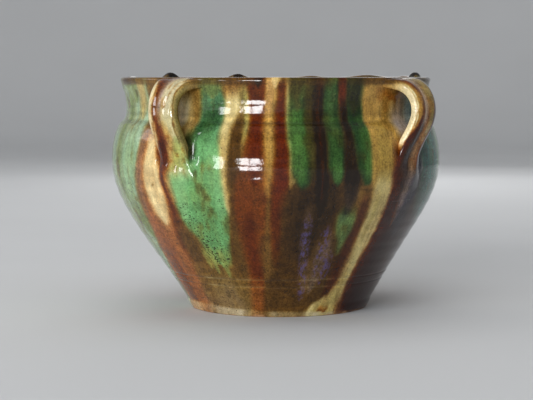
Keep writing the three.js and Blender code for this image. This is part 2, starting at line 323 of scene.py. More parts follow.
CREAM = "#e8d6a0"
STRAW = "#d1bf80"
SAND = "#b39658"
TAN = "#c0935a"
HONEY = "#b08a42"
MUSTARD = "#9a8338"
KHAKI = "#9c9350"
AMBER = "#8f5a20"
SIENNA = "#935426"
SIENNA_DEEP = "#642e08"
CHESTNUT = "#521e02"
RUST = "#521902"
OXBLOOD = "#3a1103"
SOOT = "#200702"
BRONZE = "#6b4c1e"
UMBER = "#462d0b"
PITCH = "#160d05"
MOSS = "#66743a"
PEAR = "#93a052"
BOTTLE = "#1c3a18"
FERN = "#33561f"
MEADOW = "#5c8240"
CLOVER = "#446f4a"
LEAF = "#669f62"
MINT = "#90c182"
SAGE = "#90a787"
TEAL = "#436f65"
MAUVE = "#7c6868"
SLATE = "#302c38"
DUSK = "#b8aaa0"
PUTTY = "#d6cb9c"
FLAX = "#bcb283"
OAT = "#ddcda2"
PARCHMENT = "#cdbd92"
BISQUE = "#cfc5ac"
KELP = "#94824a"
SEA = "#27433c"

# Each run of slip, from the first that was laid on to the last: its colour, the softness of its edge
# in millimetres, how thick it lies from 0 to 1, its heights from top to bottom, and for each of them
# (or once for all) its turn and its half width in degrees
BODY_RUNS = [
    # between handle_left and handle_front
    (SAGE, 7, 1, (240, 150, 120, 90, 72, 47, 28, -5), (-84, -84, -84, -84, -85, -88, -92, -97),
     (31, 33, 30.5, 28, 27, 25.6, 24, 24)),
    (MOSS, 8, 0.75, (240, 160, 120, 98), (-69, -68.6, -68, -66), (2.2, 2.2, 1.8, 0)),
    (MOSS, 6, 0.7, (230, 198, 188, 180), -62.8, (2.2, 2.2, 2, 0)),
    (SAND, 6, 0.85, (220, 196, 180, 167), (-57.3, -57.3, -57.3, -57.6), (2.6, 2.7, 2.4, 0)),
    (BRONZE, 5, 0.7, (230, 190, 174), -51, (2.5, 2, 0)),
    (MINT, 9, 0.35, (170, 148, 125, 108, 100), (-59, -59, -60, -61, -61), (3, 5.6, 6, 4, 0)),
    (MOSS, 7, 0.9, (110, 98, 84, 74, 64), (-62, -61.5, -60.5, -60, -60), (0, 5, 5.4, 3, 0)),
    # the brown ground below handle_front, with its cream run
    (SIENNA, 6, 1, (170, 158, 146, 123, 90, 72, 47, 28, -5),
     (-47, -47, -46.5, -46, -46.5, -48, -51.4, -55.5, -60), (0, 4, 5, 7.5, 9.5, 9.5, 11, 12.5, 14)),
    (MAUVE, 4, 0.5, (160, 146, 123, 100, 86), (-50, -50, -52, -53.6, -54), (0, 1.6, 1.8, 1.4, 0)),
    (CHESTNUT, 7, 0.5, (76, 60, 40, 20, -5), (-52, -53, -57, -60, -63), (0, 3, 4, 4, 4)),
    (TAN, 5, 0.5, (164, 146, 117, 90, 74), (-45, -44.8, -45.2, -45.6, -46.2), (0, 3.6, 5.8, 4.8, 0)),
    (CREAM, 4, 0.93, (166, 156, 146, 136, 117, 98, 88, 80),
     (-45, -45, -44.5, -44.3, -44.8, -45.2, -45.6, -45.8), (0, 2.2, 2.6, 4, 4.6, 4.4, 3, 0)),
    (UMBER, 1.2, 0.85, (118, 115.5, 112), (-45.2, -45.6, -46.2), (0, 0.5, 0)),
    (TAN, 3, 0.9, (162, 146, 130, 110, 95, 84), (-41.6, -40.6, -39.4, -39, -39.2, -39.4),
     (2.4, 2.8, 2.8, 2.7, 2.4, 0)),
    (CHESTNUT, 3.4, 0.7, (162, 146, 130, 110, 95, 82, 60, 45),
     (-41.8, -41, -39.8, -39.3, -39, -39.4, -40, -40.5), (2, 1.6, 1.2, 1.1, 1.6, 2.6, 3, 0)),
    (OXBLOOD, 2.6, 0.7, (162, 146, 130, 110, 90, 76), (-41.8, -41, -39.8, -39.3, -39, -39),
     (1, 0.8, 0.5, 0.4, 0.6, 0)),
    # the olive brown ground under the green
    (BRONZE, 7, 1, (102, 82, 60, 40, 20, -5), (-28, -29, -28.5, -28, -28.5, -30),
     (8, 11.5, 13, 14, 15, 16.5)),
    (UMBER, 7, 0.6, (88, 76, 60, 46), (-38, -38, -37.4, -37), (0, 3.4, 3.6, 0)),
    (UMBER, 7, 0.5, (100, 84, 60, 36), (-15, -15.4, -17.6, -18), (0, 2.4, 3, 0)),
    (KHAKI, 7, 0.35, (54, 44, 28, 10, -5), (-28, -28, -27, -27, -27), (0, 6, 10, 11, 11)),
    # partly painted reflection: mauve grey low on the wall, where the glaze is worn pale and a haze of
    # reflection lies
    (MAUVE, 9, 0.4, (48, 28, 10, -5), (-36, -34, -34, -34), (8, 14, 16, 16)),
    (KHAKI, 4, 0.6, (29, 22, 15), (-43.2, -43.5, -43.8), (0, 3, 0)),
    # handle_front's neighbour: dark green above, tan behind the strap, leaf green below
    (CLOVER, 5, 1, (212, 196, 186, 160, 146, 134), (-23, -22.8, -22.6, -23.5, -25, -26),
     (5.6, 5.2, 5, 5.5, 6, 0)),
    (MOSS, 4, 0.75, (212, 198, 191, 186), -23, (5.4, 5, 3, 0)),
    (SAND, 4, 1, (204, 193, 176, 164, 154, 144), (-32, -32, -32.4, -33, -34, -34.6),
     (0, 4.4, 4.6, 4.4, 3, 0)),
    # partly painted highlight: this pale cream behind handle_front's loop is partly the glaze and partly a
    # window's reflection painted in
    (PUTTY, 4, 0.8, (198, 186, 168, 156), (-35, -35, -35.4, -36), (0, 3, 3, 0)),
    (OAT, 4, 1, (188, 180, 168, 158), (-35, -35, -35, -35.4), (0, 2.2, 1.6, 0)),
    (BRONZE, 4, 0.6, (214, 196, 187, 176, 166), (-30, -30, -29.2, -28.9, -29.2), (3, 3, 1.6, 1.2, 0)),
    (BOTTLE, 3.4, 0.55, (190, 183, 172, 160, 150, 141), (-21.6, -21.6, -22.2, -24, -26, -27.5),
     (0, 3, 3.7, 3.7, 2.6, 0)),
    (LEAF, 3.6, 1, (168, 158, 150, 140, 123, 99, 88, 80, 70, 61, 54, 45),
     (-21.4, -22, -24.5, -26.6, -26.8, -26.5, -26.6, -26.2, -25.2, -25.2, -25, -25),
     (0, 3, 5.6, 8.8, 9.8, 10.2, 9.8, 8.8, 6.4, 5.6, 4.6, 0)),
    (MINT, 5, 0.65, (152, 142, 125, 108, 96, 84), (-32, -32.6, -33, -33.6, -34, -34),
     (0, 3, 3.6, 2.8, 2, 0)),
    (MINT, 4, 0.35, (156, 140, 118, 100, 86), (-21, -20.4, -19.4, -18.8, -19), (0, 2, 2.2, 1.8, 0)),
    (FERN, 9, 0.08, (140, 124, 108, 92, 78, 62), (-25, -26.5, -26, -25.6, -26, -26),
     (0, 3, 4, 3.6, 3, 0)),
    # painted shadow: these two runs lay greenish black in the crease where handle_front's lower root meets
    # the wall
    (BOTTLE, 4, 1, (164, 156, 146, 134), (-30.2, -29.9, -29, -28.6), (0, 1.6, 1.5, 0)),
    (PITCH, 3, 0.8, (160, 154, 146, 137), (-30.2, -29.9, -29, -28.6), (0, 1.1, 1, 0)),
    (PEAR, 1.8, 0.8, (66, 58, 50, 43), (-31.8, -31.7, -31.6, -31.5), (0, 1.5, 1.1, 0)),
    (PEAR, 1.8, 0.85, (68, 58, 46, 38), (-29.2, -29.2, -29.1, -29), (0, 1.6, 1.2, 0)),
    (PEAR, 1.8, 0.6, (62, 56, 50, 45), -27.2, (0, 1.2, 1, 0)),
    (PEAR, 1.8, 0.85, (66, 56, 44, 35), (-24.4, -24.3, -24, -23.8), (0, 1.7, 1.3, 0)),
    (PEAR, 1.8, 0.6, (68, 58, 52, 46), (-21.4, -21.2, -21, -21), (0, 1.3, 1, 0)),
    # the cream run beside it, its khaki and dark neighbours
    (AMBER, 4, 0.8, (212, 198, 190, 182), (-15.4, -15.4, -15.4, -15), (4.4, 4.2, 3.4, 0)),
    (STRAW, 3.6, 1, (200, 195, 180, 168, 158, 144, 123, 104, 92),
     (-14.8, -14.8, -15, -15.4, -16.4, -16.8, -16.5, -16.3, -16.2),
     (0, 2.8, 3, 2.8, 2.4, 1.6, 1.3, 1.1, 0)),
    (CREAM, 2.8, 0.35, (198, 190, 176, 164, 155), (-14.8, -14.8, -15.2, -16, -16.6), (0, 2, 2, 1.4, 0)),
    (SAND, 3, 0.6, (162, 154, 140, 110, 96), (-17, -17.2, -17, -16.4, -16.2), (0, 1.4, 1.2, 1, 0)),
    (KHAKI, 3, 0.95, (202, 192, 170, 150, 134), (-10.5, -10.6, -10.4, -10.2, -10), (0, 1.7, 1.6, 1.4, 0)),
    (UMBER, 3.8, 1, (180, 170, 155, 135, 115, 100, 84), (-12.6, -12.8, -13.2, -13.4, -13.6, -13.8, -14),
     (0, 1.2, 1.9, 2.2, 2.1, 1.8, 0)),
    # red brown, tan and rust in the middle
    (SIENNA_DEEP, 4.4, 1, (164, 140, 120, 104, 85, 66, 50, 30, 14, -5),
     (-6.6, -7, -8, -8.6, -9, -9.4, -9.6, -10.4, -11.4, -12),
     (3, 3.6, 5, 5.6, 5.2, 4, 3.4, 3.6, 4.2, 4.4)),
    (CHESTNUT, 3.6, 1, (212, 190, 170, 150, 130, 116), (-6.2, -6.4, -6.6, -6.6, -6.8, -7),
     (3, 3.2, 2.8, 2.6, 2, 0)),
    (RUST, 3, 0.7, (178, 168, 150, 136, 126), (-6.6, -6.6, -6.6, -6.8, -7), (0, 1.5, 1.6, 1, 0)),
    (CHESTNUT, 4, 0.8, (100, 86, 60, 40, 20, 4, 0), (-9, -9.4, -9.6, -9.8, -10.8, -11.6, -11.6),
     (0, 1.8, 2.4, 2.6, 2.6, 2.2, 0)),
    (TAN, 4, 0.25, (220, 196, 186), -6, (2, 2, 0)),
    (PITCH, 2, 0.8, (207, 203, 198.5, 195), -6, (0, 1.8, 1.4, 0)),
    (OXBLOOD, 2.6, 0.15, (212, 200, 192, 184, 175), (-6, -6, -6.2, -6.6, -6.8), (2.6, 2.6, 2.6, 1.8, 0)),
    (TAN, 5, 0.45, (46, 30, 14, -5), (-11, -11, -12, -12), (0, 3, 4.4, 4.4)),
    (HONEY, 4.6, 0.95, (212, 196, 180, 160, 140, 125, 108), (-0.6, -1, -1.8, -2.2, -2.4, -2.6, -2.8),
     (3, 2.6, 2, 1.8, 1.5, 1.2, 0)),
    (TAN, 3, 0.7, (208, 198, 184, 170), (-1.6, -1.6, -2, -2.2), (0, 1.8, 1.4, 0)),
    (CREAM, 2.4, 0.75, (212, 201, 194), (0.2, 0.4, 0.2), (1.8, 1.6, 0)),
    (CHESTNUT, 3, 1, (204, 196, 176, 150, 125, 104, 84, 66, 44),
     (2.4, 2.3, 2.2, 2, 1.6, 1.4, 1.2, 1, 0.6), (0, 1.4, 1.8, 2, 2.6, 3.2, 3.4, 3, 0)),
    (RUST, 2.6, 1, (190, 176, 140, 110, 80, 58), (2.2, 2.2, 2, 1.8, 1.6, 1.4),
     (0, 1.1, 1.2, 1.8, 1.8, 0)),
    # the dark ground towards handle_right, thin and olive at the foot
    (UMBER, 7, 1, (140, 118, 110, 90, 60, 40, 28, -5), (14, 14, 14, 15, 15, 14, 12, 12),
     (8, 9, 12, 14, 15, 16, 18, 22)),
    (PITCH, 11, 0.55, (150, 118, 106, 92, 74, 52), (14, 14, 13, 13, 11, 10), (6, 7, 8, 8, 6, 0)),
    (BRONZE, 8, 0.4, (46, 36, 20, -5), (6, 7, 9, 10), (0, 11, 15, 17)),
    (MAUVE, 4, 0.5, (108, 92, 60, 34, 22), (11.8, 11.8, 12, 12.4, 12.6), (1, 1.3, 1.6, 1.8, 0)),
    (MAUVE, 5, 0.7, (84, 60, 36, 22), (20, 20, 18, 16), (2, 3.6, 4, 0)),
    (STRAW, 1.6, 0.7, (125, 122, 119.5, 117.5), (5.8, 5.8, 6, 6), (0, 0.9, 0.7, 0)),
    (STRAW, 2.4, 0.9, (214, 192, 150, 124, 114), (4.4, 4.5, 4.7, 4.9, 5), (0.6, 0.7, 0.6, 0.3, 0)),
    # three green runs with dark ones between, all ending at the same height
    (BOTTLE, 4.6, 0.95, (240, 186, 150, 130, 121, 114), (9.2, 9.2, 9.2, 9.2, 9.2, 9),
     (4.2, 4, 3.9, 3.7, 2.6, 0)),
    (MOSS, 4, 0.4, (240, 196, 186, 176), 8.6, (4, 3.6, 2, 0)),
    (UMBER, 5, 0.6, (240, 196, 184, 174), 7.4, (3.4, 3, 1.4, 0)),
    (FERN, 6, 0.75, (186, 176, 150, 136, 126, 117), (7.8, 7.7, 7.8, 8, 8.4, 8.6),
     (2.4, 3, 3.1, 2.8, 2, 0)),
    (MEADOW, 6, 0.5, (190, 168, 150, 134, 122), (7.3, 7.3, 7.3, 7.4, 7.8), (2, 2.4, 2.4, 1.8, 0)),
    (UMBER, 3.4, 0.7, (212, 150, 126, 116), (12, 12, 12, 11.8), (1.4, 1.6, 1.4, 0)),
    (PITCH, 3, 1, (212, 180, 150, 120, 104, 90), (15.4, 15.3, 15.2, 15.2, 15.3, 15.4),
     (1.5, 1.9, 2.2, 2.2, 1.6, 0)),
    (RUST, 1.6, 0.5, (212, 176, 130, 100), (15.4, 15.2, 15.2, 15.2), (0.8, 0.5, 0.6, 0)),
    (BOTTLE, 2.8, 1, (212, 180, 150, 130, 121, 116.5), (20, 20, 20.2, 20.2, 20.2, 20.2),
     (2.8, 2.7, 2.6, 2.3, 1.6, 0)),
    (FERN, 4, 0.6, (178, 150, 132, 122, 117), (20, 20, 20.2, 20.2, 20.2), (2, 1.8, 1.8, 1.5, 0)),
    (MEADOW, 4, 0.45, (142, 132, 122, 117), (20, 20.2, 20.2, 20.2), (1.4, 1.6, 1.3, 0)),
    (MOSS, 3.6, 0.45, (220, 180, 166, 156), 20, (1.6, 1.5, 1, 0)),
    (RUST, 3, 0.9, (212, 196, 182, 168), (23.8, 23.8, 24.2, 24.6), (1.9, 1.8, 1.3, 0)),
    (PITCH, 4, 0.95, (190, 176, 150, 132, 122, 112, 98, 84), (24.4, 24.6, 24.8, 25, 25.4, 25.2, 25, 24),
     (0, 1.3, 1.7, 2.6, 3, 2.6, 1.6, 0)),
    (BOTTLE, 2.8, 1, (212, 180, 150, 130, 121, 115.5), (28.8, 28.9, 29.6, 30.4, 31, 31.2),
     (3.2, 3.3, 3.3, 2.8, 2, 0)),
    (UMBER, 4, 0.4, (240, 186, 174), 28.6, (4, 3, 0)),
    (PITCH, 4, 0.3, (240, 186, 170), 28.6, (3, 3, 0)),
    (FERN, 4.4, 0.9, (180, 172, 140, 126, 117), (30.4, 30.6, 31, 31.2, 31.2), (1.6, 2, 2.1, 1.8, 0)),
    (MEADOW, 4.4, 0.35, (160, 140, 126, 118), (31, 31.2, 31.4, 31.4), (1.8, 1.8, 1.4, 0)),
    # the mustard field beside handle_right, and the long run below it
    (HONEY, 3.2, 1, (212, 190, 170, 150, 124, 114, 106), (40, 40, 40, 39.8, 38.6, 38.6, 38.6),
     (8.4, 8.2, 7.8, 7, 5.8, 4.6, 0)),
    (MUSTARD, 7, 0.6, (176, 160, 140, 122, 112), (37, 37.4, 38, 38.4, 38.6), (0, 3.4, 4, 4, 0)),
    # partly painted shadow: the amber and deep brown under handle_right's upper root are a brown smear of
    # glaze, darkened where the root shades the wall
    (AMBER, 4, 0.8, (203, 197, 193, 188, 182), (45, 44, 42, 40.6, 41), (3, 4, 4.6, 2.6, 0)),
    (AMBER, 4, 0.6, (196, 188, 182, 174), (46, 45, 44, 43.6), (2, 2.2, 1.2, 0)),
    (SIENNA_DEEP, 2.4, 0.6, (198, 196, 193, 190, 187, 184), (38, 39, 41.4, 44.6, 47.4, 48),
     (0, 1.6, 3.6, 4.6, 3.4, 0)),
    # partly painted light: the lilac grey seen through handle_right's loop is laid paler than the glaze,
    # against the strap's shade
    (DUSK, 6, 0.95, (194, 188, 170, 156, 146), (53, 53, 52.6, 52, 51), (0, 6.6, 7, 6, 0)),
    (OXBLOOD, 5, 0.6, (116, 104, 90, 66, 36, 20, 10), (32, 32.2, 31.8, 31, 30, 28, 26),
     (0, 1.6, 2.2, 2.6, 3.4, 3, 0)),
    (OXBLOOD, 5, 1, (156, 142, 112, 80, 40, -5), (46, 46, 45.5, 46, 46, 47), (3.2, 3.4, 3.6, 5, 8, 11)),
    (CHESTNUT, 6, 0.8, (90, 70, 40, -5), 44, (0, 3, 5, 7)),
    (LEAF, 4.2, 0.75, (104, 99, 90, 80, 68, 56), (25.4, 25.5, 25.9, 26.3, 26.6, 26.6),
     (0, 3.2, 3.9, 3.7, 2, 0)),
    (MAUVE, 4, 0.4, (124, 110, 102, 96), 25.4, (2, 3, 2, 0)),
    (STRAW, 4.5, 1, (130, 118, 110, 90, 61, 51, 37, 28, 20, 15, 10, 4, -5),
     (38.9, 38.9, 38.8, 38.5, 37.4, 36.6, 35.4, 34.6, 33.4, 32, 30.5, 29.5, 29),
     (0, 4.2, 4.1, 3.8, 3.9, 3.8, 3.6, 3.6, 5.3, 8, 11.5, 14.5, 15)),
    (MUSTARD, 4, 0.3, (116, 100, 70, 40, 24, 14, -5), (37.6, 37.7, 36.9, 35, 33, 31, 29),
     (1, 1.2, 0, 0, 3, 6, 12)),
    (CHESTNUT, 2.2, 0.9, (11, 8, 4.6, 3), (27.4, 27.2, 26.8, 26.8), (0, 3, 3.6, 0)),
    (HONEY, 1.4, 0.8, (9, 7, 5.4), 27, (0, 1.6, 0)),
    # right of handle_right: dark below, bands of mauve and slate under its foot, then sea green
    (OXBLOOD, 8, 1, (120, 70, 40, -5), (60, 60, 60, 62), (10, 14, 18, 24)),
    (SOOT, 9, 0.6, (112, 70, 40, -5), (64, 62, 62, 64), (10, 13, 17, 22)),
    # painted reflection: the teal is the sage glaze with a blue reflection laid into its colour
    (TEAL, 8, 1, (212, 150, 120, 96, 80, 64), (72, 72, 73, 75, 78, 80), (16, 15, 14, 12, 8, 0)),
    (SEA, 7, 0.7, (212, 160, 130, 100, 80), (60, 59, 59, 62, 66), (6, 5, 4, 4, 0)),
    (SAGE, 6, 0.9, (212, 150, 110, 90), 82, (7, 8, 7, 0)),
    # painted light: the same lilac grey again on top, paler still where the strap shades the wall
    (DUSK, 6, 0.8, (196, 188, 160, 146), (54, 54, 54, 53), (0, 6, 6, 0)),
    (SLATE, 5, 1, (152, 130, 100, 84, 66), (51.5, 51.5, 53, 54, 56), (6, 6, 5, 4, 0)),
    (MAUVE, 4, 0.7, (150, 120, 96, 76), (50, 50.4, 49.6, 49.4), (1.4, 1.8, 1.8, 0)),
    (TAN, 3, 0.3, (146, 130, 110, 92), (50.4, 50.4, 50, 49.6), (0, 1, 1, 0)),
    # the far side, where the same slips were dabbed on in the same way
    (HONEY, 7, 1, (212, 150, 100, 70, 54), 98, (15, 14, 11, 7, 0)),
    (CREAM, 4, 0.9, (190, 170, 120, 84, 68), (93, 93.2, 94, 94, 94), (0, 3.4, 3.2, 2.4, 0)),
    (LEAF, 4, 0.95, (212, 170, 130, 104, 88), (105, 105, 105.6, 106, 106), (4, 4.6, 5, 4, 0)),
    (BOTTLE, 3.4, 0.8, (212, 184, 166), 105, (3.4, 2.6, 0)),
    (SIENNA, 4, 1, (212, 160, 110, 60, 10, -5), (114, 114, 114.6, 115, 116, 116),
     (4.4, 4, 4.4, 5.4, 7, 7)),
    (RUST, 3.5, 0.9, (212, 160, 110, 60, 10, -5), (114, 114, 114.6, 115, 116, 116),
     (2.4, 2, 2, 2.6, 3, 3)),
    (BRONZE, 8, 1, (82, 50, 10, -5), 100, (8, 16, 20, 22)),
    (UMBER, 8, 0.7, (84, 50, 30), 92, (4, 8, 0)),
    (PITCH, 5, 0.9, (176, 160, 120, 80, 56), (121, 121, 121.6, 122, 122), (0, 1.6, 2.4, 3, 0)),
    (TAN, 4, 0.8, (212, 160, 110, 80, 56), (127, 127, 127.6, 128, 128), (5.2, 5, 4.4, 3.4, 0)),
    (STRAW, 3.5, 1, (212, 160, 110, 80, 60), (127, 127, 127.6, 128, 128), (4, 3.8, 3.2, 2.2, 0)),
    (BOTTLE, 3.5, 1, (212, 160, 124, 110), 134, (3, 3.2, 3, 0)),
    (FERN, 3, 0.9, (176, 160, 124, 113), (134.4, 134.4, 134.2, 134), (0, 1.6, 1.8, 0)),
    (SIENNA, 6, 1, (156, 100, 50, 10, -5), (146, 147, 148, 150, 150), (6, 10, 14, 18, 18)),
    (TAN, 5, 0.7, (166, 150, 120, 84, 64), (149.6, 149.6, 150, 150.4, 150.4), (0, 3.4, 4.2, 3, 0)),
    (CREAM, 3.5, 0.9, (160, 146, 120, 84, 70), (149.6, 149.6, 150, 150.4, 150.4), (0, 2.4, 3, 2, 0)),
    (CHESTNUT, 4, 0.9, (150, 100, 60, 30), 142, (1.6, 2.4, 3, 0)),
    (SAGE, 6, 1, (212, 150, 110, 80, 50, 34), (165, 166, 166, 166, 166, 166), (9, 10, 10, 8, 4, 0)),
    (MINT, 6, 0.7, (160, 140, 110, 84, 66), (162, 162, 163, 164, 164), (0, 4, 5, 3, 0)),
    (MOSS, 4, 0.8, (212, 140, 96, 70), 171, (2.4, 2.6, 2.4, 0)),
    (BRONZE, 8, 1, (50, 30, -5), 168, (6, 14, 17)),
    (TAN, 4, 0.9, (212, 170, 140, 116), (180, 180, 180.4, 180.6), (3.4, 3.4, 2.6, 0)),
    (CHESTNUT, 4, 1, (212, 150, 100, 50, 10, -5), (188, 188, 189, 190, 191, 191),
     (4, 4, 5.4, 7.4, 9.4, 9.4)),
    (OXBLOOD, 3.4, 0.8, (212, 150, 100, 50, 10, -5), (188, 188, 189, 190, 191, 191), (2, 2, 3, 4, 5, 5)),
    (HONEY, 3.5, 1, (212, 150, 110, 84, 66), (196, 196, 196.6, 197, 197), (3.6, 3.8, 3.4, 2.6, 0)),
    (BOTTLE, 4, 1, (212, 160, 130, 116, 108), 204, (4, 4, 3.6, 2.6, 0)),
    (LEAF, 3.4, 0.8, (176, 160, 140, 124, 111), (206, 205.6, 205, 204.6, 204.4), (0, 1.4, 2.6, 2.4, 0)),
    (SIENNA, 3.5, 1, (212, 150, 100, 40, 10, -5), (212, 212, 212, 213, 214, 214),
     (3.2, 3.2, 4, 5.4, 7, 7)),
    (RUST, 3, 0.8, (212, 150, 100, 40, 16), (212, 212, 212, 213, 213), (1.6, 1.6, 2, 2.4, 0)),
    (STRAW, 3.5, 1, (212, 150, 100, 60, 30, 14, -5), (219, 219, 220, 221, 221.6, 222, 222),
     (4.6, 4.4, 4, 3.4, 3.4, 6, 9)),
    (MOSS, 6, 0.9, (212, 150, 100, 66, 52), (229, 229, 230, 230, 230), (5, 6, 6, 4, 0)),
    (FERN, 4, 0.8, (212, 160, 120, 96), (227, 227, 227.4, 227.4), (2.4, 2.8, 2.6, 0)),
    (SIENNA, 6, 1, (140, 100, 50, -5), (240, 240, 241, 242), (4, 6, 9, 11)),
    (TAN, 5, 0.7, (160, 144, 120, 90, 70), (243.6, 243.6, 244, 244, 244), (0, 3.2, 4, 3, 0)),
    (CREAM, 3.5, 0.9, (156, 142, 120, 90, 74), (243.6, 243.6, 244, 244, 244), (0, 2.2, 2.8, 2, 0)),
    (LEAF, 4.5, 0.9, (212, 150, 110, 96), 252, (4.4, 5, 4.4, 0)),
]
# Where the glaze rolled up along the foot: the turn and height of its edge
FOOT_ROLL = np.array([
    (-180, 5), (-150, 3), (-110, 6), (-70, 9), (-52, 8.5), (-42, 8), (-34, 7), (-24, 6.4), (-15, 6.4),
    (-10, 5), (-4, 5.4), (8, 5), (18, 4.6), (30, 3), (60, 2.4), (100, 4), (130, 6), (160, 4), (180, 5),
])
# Faint violet and blue sheen painted into the dark glaze in streaks
BODY_SHEEN = [
    (4, (96, 80, 50, 24, 16), (11.6, 11.6, 11.8, 12, 12), (0, 1.6, 1.6, 1.6, 0)),
    (3.5, (84, 76, 60, 48, 36), (19.4, 19.4, 19.4, 18, 18), (0, 1.8, 1.8, 1.4, 0)),
    (3, (62, 54, 40, 30), (23, 23, 22, 21), (0, 2, 2.4, 0)),
    (5, (70, 50, 30, 20), 190, (0, 5, 5, 0)),
    (4, (90, 70, 50, 40), 121, (0, 2, 2, 0)),
]


def cover(face, height, softness, heights, turns, halves):
    """How much of a run covers each point, from 0 to 1. At each height its middle comes from its
    stations, and so does the square of its half width, so that it ends below in a round tongue.
    It fades in from its top over three times the softness of its edge."""
    stations = np.array(np.broadcast_arrays(heights, turns, halves), float)
    heights, turns, halves = np.pad(stations[:, ::-1], ((0, 0), (1, 1)), "edge")
    top = heights[-1]
    heights[[0, -1]] += (-4.0, 4.0)
    squares = halves**2
    squares[[0, -1]] -= 6.0
    half = np.interp(height, heights, squares, left=-9.0, right=-9.0)
    half = np.sign(half) * np.sqrt(np.abs(half))
    away = np.abs(half_turns(face - np.interp(height, heights, turns)))
    inside = (half - away) * math.pi / 180.0 * wall_radius(height)
    return ease(0.5 + inside / softness) * ease((top - height) / (3.0 * softness))


def lay(colour, shade, share):
    """The colour with that share of a hex colour, or of another array, laid over it. Glazes mix as
    filters do, so the two are multiplied, each to the power of its share: cream and brown meet in
    amber."""
    shade = linear(shade) if isinstance(shade, str) else shade
    return colour ** (1.0 - share[:, None]) * shade ** share[:, None]


def dabbed(turn, height):
    """How much of the dark dab that was put on each crest covers the point."""
    return ease(crest_rise(turn) / 2.8) * ease((height - 190.0) / 8.0)


def slips(turn, height):
    """The colour of the outside at each point. The ground is bronze, and each run is laid on the
    ones before it. Both coordinates are first pushed about a little, sideways in slow waves and
    up and down in narrow ones, so that edges wander. A brown band along the lip, which is partly its
    glaze and partly painted shade of the rolled lip, the potter's dark dabs on the crests, yellow
    flecks high in the greens, the roll along the foot, the two scored lines, worn pale and carrying
    a painted highlight that is strongest towards the window panes, brown blots and clouds come
    last, with the glaze pooled dark in the pressed rings."""
    wave = partial(drift, turn, height)
    ripple = partial(drift, turn, height * 0.0)
    face = turn - GLAZE_FACE
    face = face + 0.55 * wave(40, 34.0, 11) + 0.24 * wave(130, 11.0, 12) + 0.17 * wave(310, 7.0, 10)
    fall = height + 1.6 * wave(140, 60.0, 13) + 0.7 * wave(300, 30.0, 14)
    thin = np.clip(0.93 + 0.13 * wave(150, 15.0, 26) + 0.09 * wave(310, 34.0, 27), 0.7, 1.0)
    blur = 1.55 + 0.7 * wave(50, 24.0, 15)
    colour = np.tile(linear(BRONZE), (len(turn), 1))
    for shade, softness, thickness, *run in BODY_RUNS:
        colour = lay(colour, shade, thickness * thin * cover(face, fall, softness * blur, *run))
    # a brown band along the lip: partly the glaze's own brown, partly painted shade of the rolled lip
    brown = np.clip(0.55 + 0.6 * ripple(46, 9.0, 25), 0.0, 0.9)
    colour = lay(colour, UMBER, brown * ease((height - 196.0) / 2.5))
    colour = lay(colour, PITCH, 0.9 * dabbed(turn, height))
    green = np.clip((colour[:, 1] - 1.05 * colour[:, 0]) * 30.0, 0.0, 1.0)
    fleck = ease((wave(310, 2.6, 16) - 0.5) / 0.3) * ease((height - 172.0) / 10.0)
    colour = lay(colour, KHAKI, 0.45 * fleck * green)
    around = half_turns(face)
    edge = np.interp(around, FOOT_ROLL[:, 0], FOOT_ROLL[:, 1])
    share = ease(0.5 + (edge - height) / 2.4) * (0.7 + 0.3 * ripple(70, 9.0, 17))
    colour = lay(colour, BISQUE, np.clip(share, 0.0, 1.0) * 0.85)
    # partly painted highlight: the scored lines are pale where the glaze wore thin, and paler still round
    # the side facing the window panes
    worn_and_highlit = bell(height, 34.0, 0.7) + 0.8 * bell(height, 27.5, 0.6)
    worn_and_highlit = worn_and_highlit * np.clip(0.4 + 0.8 * ripple(64, 9.0, 24), 0.0, 1.0)
    colour = lay(colour, PUTTY, worn_and_highlit * (0.42 + 0.4 * bell(around, -25.0, 22.0)))
    blot = ease((wave(100, 10.0, 28) + 0.5 * wave(260, 5.0, 29) - 0.35) / 0.6)
    pale = ease((colour[:, 1] - 0.32) / 0.08)
    colour = lay(colour, UMBER, 0.3 * blot * (0.4 + 0.6 * green) * (1.0 - pale))
    clouds = 1.0 + 0.11 * wave(110, 9.0, 18) + 0.07 * wave(300, 3.0, 19)
    pool = 0.24 * bell(height, 165.3, 1.3) - 0.2 * bell(height, 168.8, 1.5) + 0.2 * bell(height, 172.6, 1.4)
    pool = pool * (0.7 + 0.5 * wave(24, 20.0, 20))
    return colour * (clouds * (1.0 - pool))[:, None]


# Inside it is honey, darker down in the well, and the outside's glaze dribbles over the lip
outside = slips(turn, flat_height)
edge_wave = partial(drift, turn, turn * 0.0)
dribble = 16.0 + 15.0 * edge_wave(40, 10.0, 21) + 8.0 * edge_wave(110, 10.0, 22)
honey = linear(HONEY) * (1.0 + 0.12 * drift(turn, flat_height, 60, 60.0, 23))[:, None]
well = 0.5 * ease((34.0 - flat_height) / 24.0)[:, None]
honey = honey * (1.0 - well) + linear(UMBER) * well
over = 0.85 * ease((dribble - POT_HEIGHT + flat_height) / 9.0)
over = np.maximum(over, dabbed(turn, flat_height))[:, None]
colour = np.where((side == INSIDE)[:, None], outside * over + honey * (1.0 - over), outside)
colour = colour * (1.0 + 0.25 * np.clip(relief, -0.3, 0.3))[:, None]
bare_line = 0.5 + 0.8 * edge_wave(60, 10.0, 31) + 0.8 * edge_wave(200, 10.0, 32)
bare = np.where(side == OUTSIDE, ease((bare_line - flat_height) / 0.8 + 0.5), side == UNDERSIDE)
sheen = np.zeros(len(turn))
for softness, *run in BODY_SHEEN:
    sheen = np.maximum(sheen, cover(turn - GLAZE_FACE, flat_height, softness, *run) * (side == OUTSIDE))
green = np.clip((colour[:, 1] - colour[:, 0]) * 9.0, 0.0, 1.0)
specks = 0.25 + 0.75 * green * ease((140.0 - flat_height) / 40.0) + 0.3 * ease((105.0 - flat_height) / 60.0)
specks = np.where(side == OUTSIDE, specks, 0.15) * (1.0 + 0.5 * drift(turn, flat_height, 70, 16.0, 33))


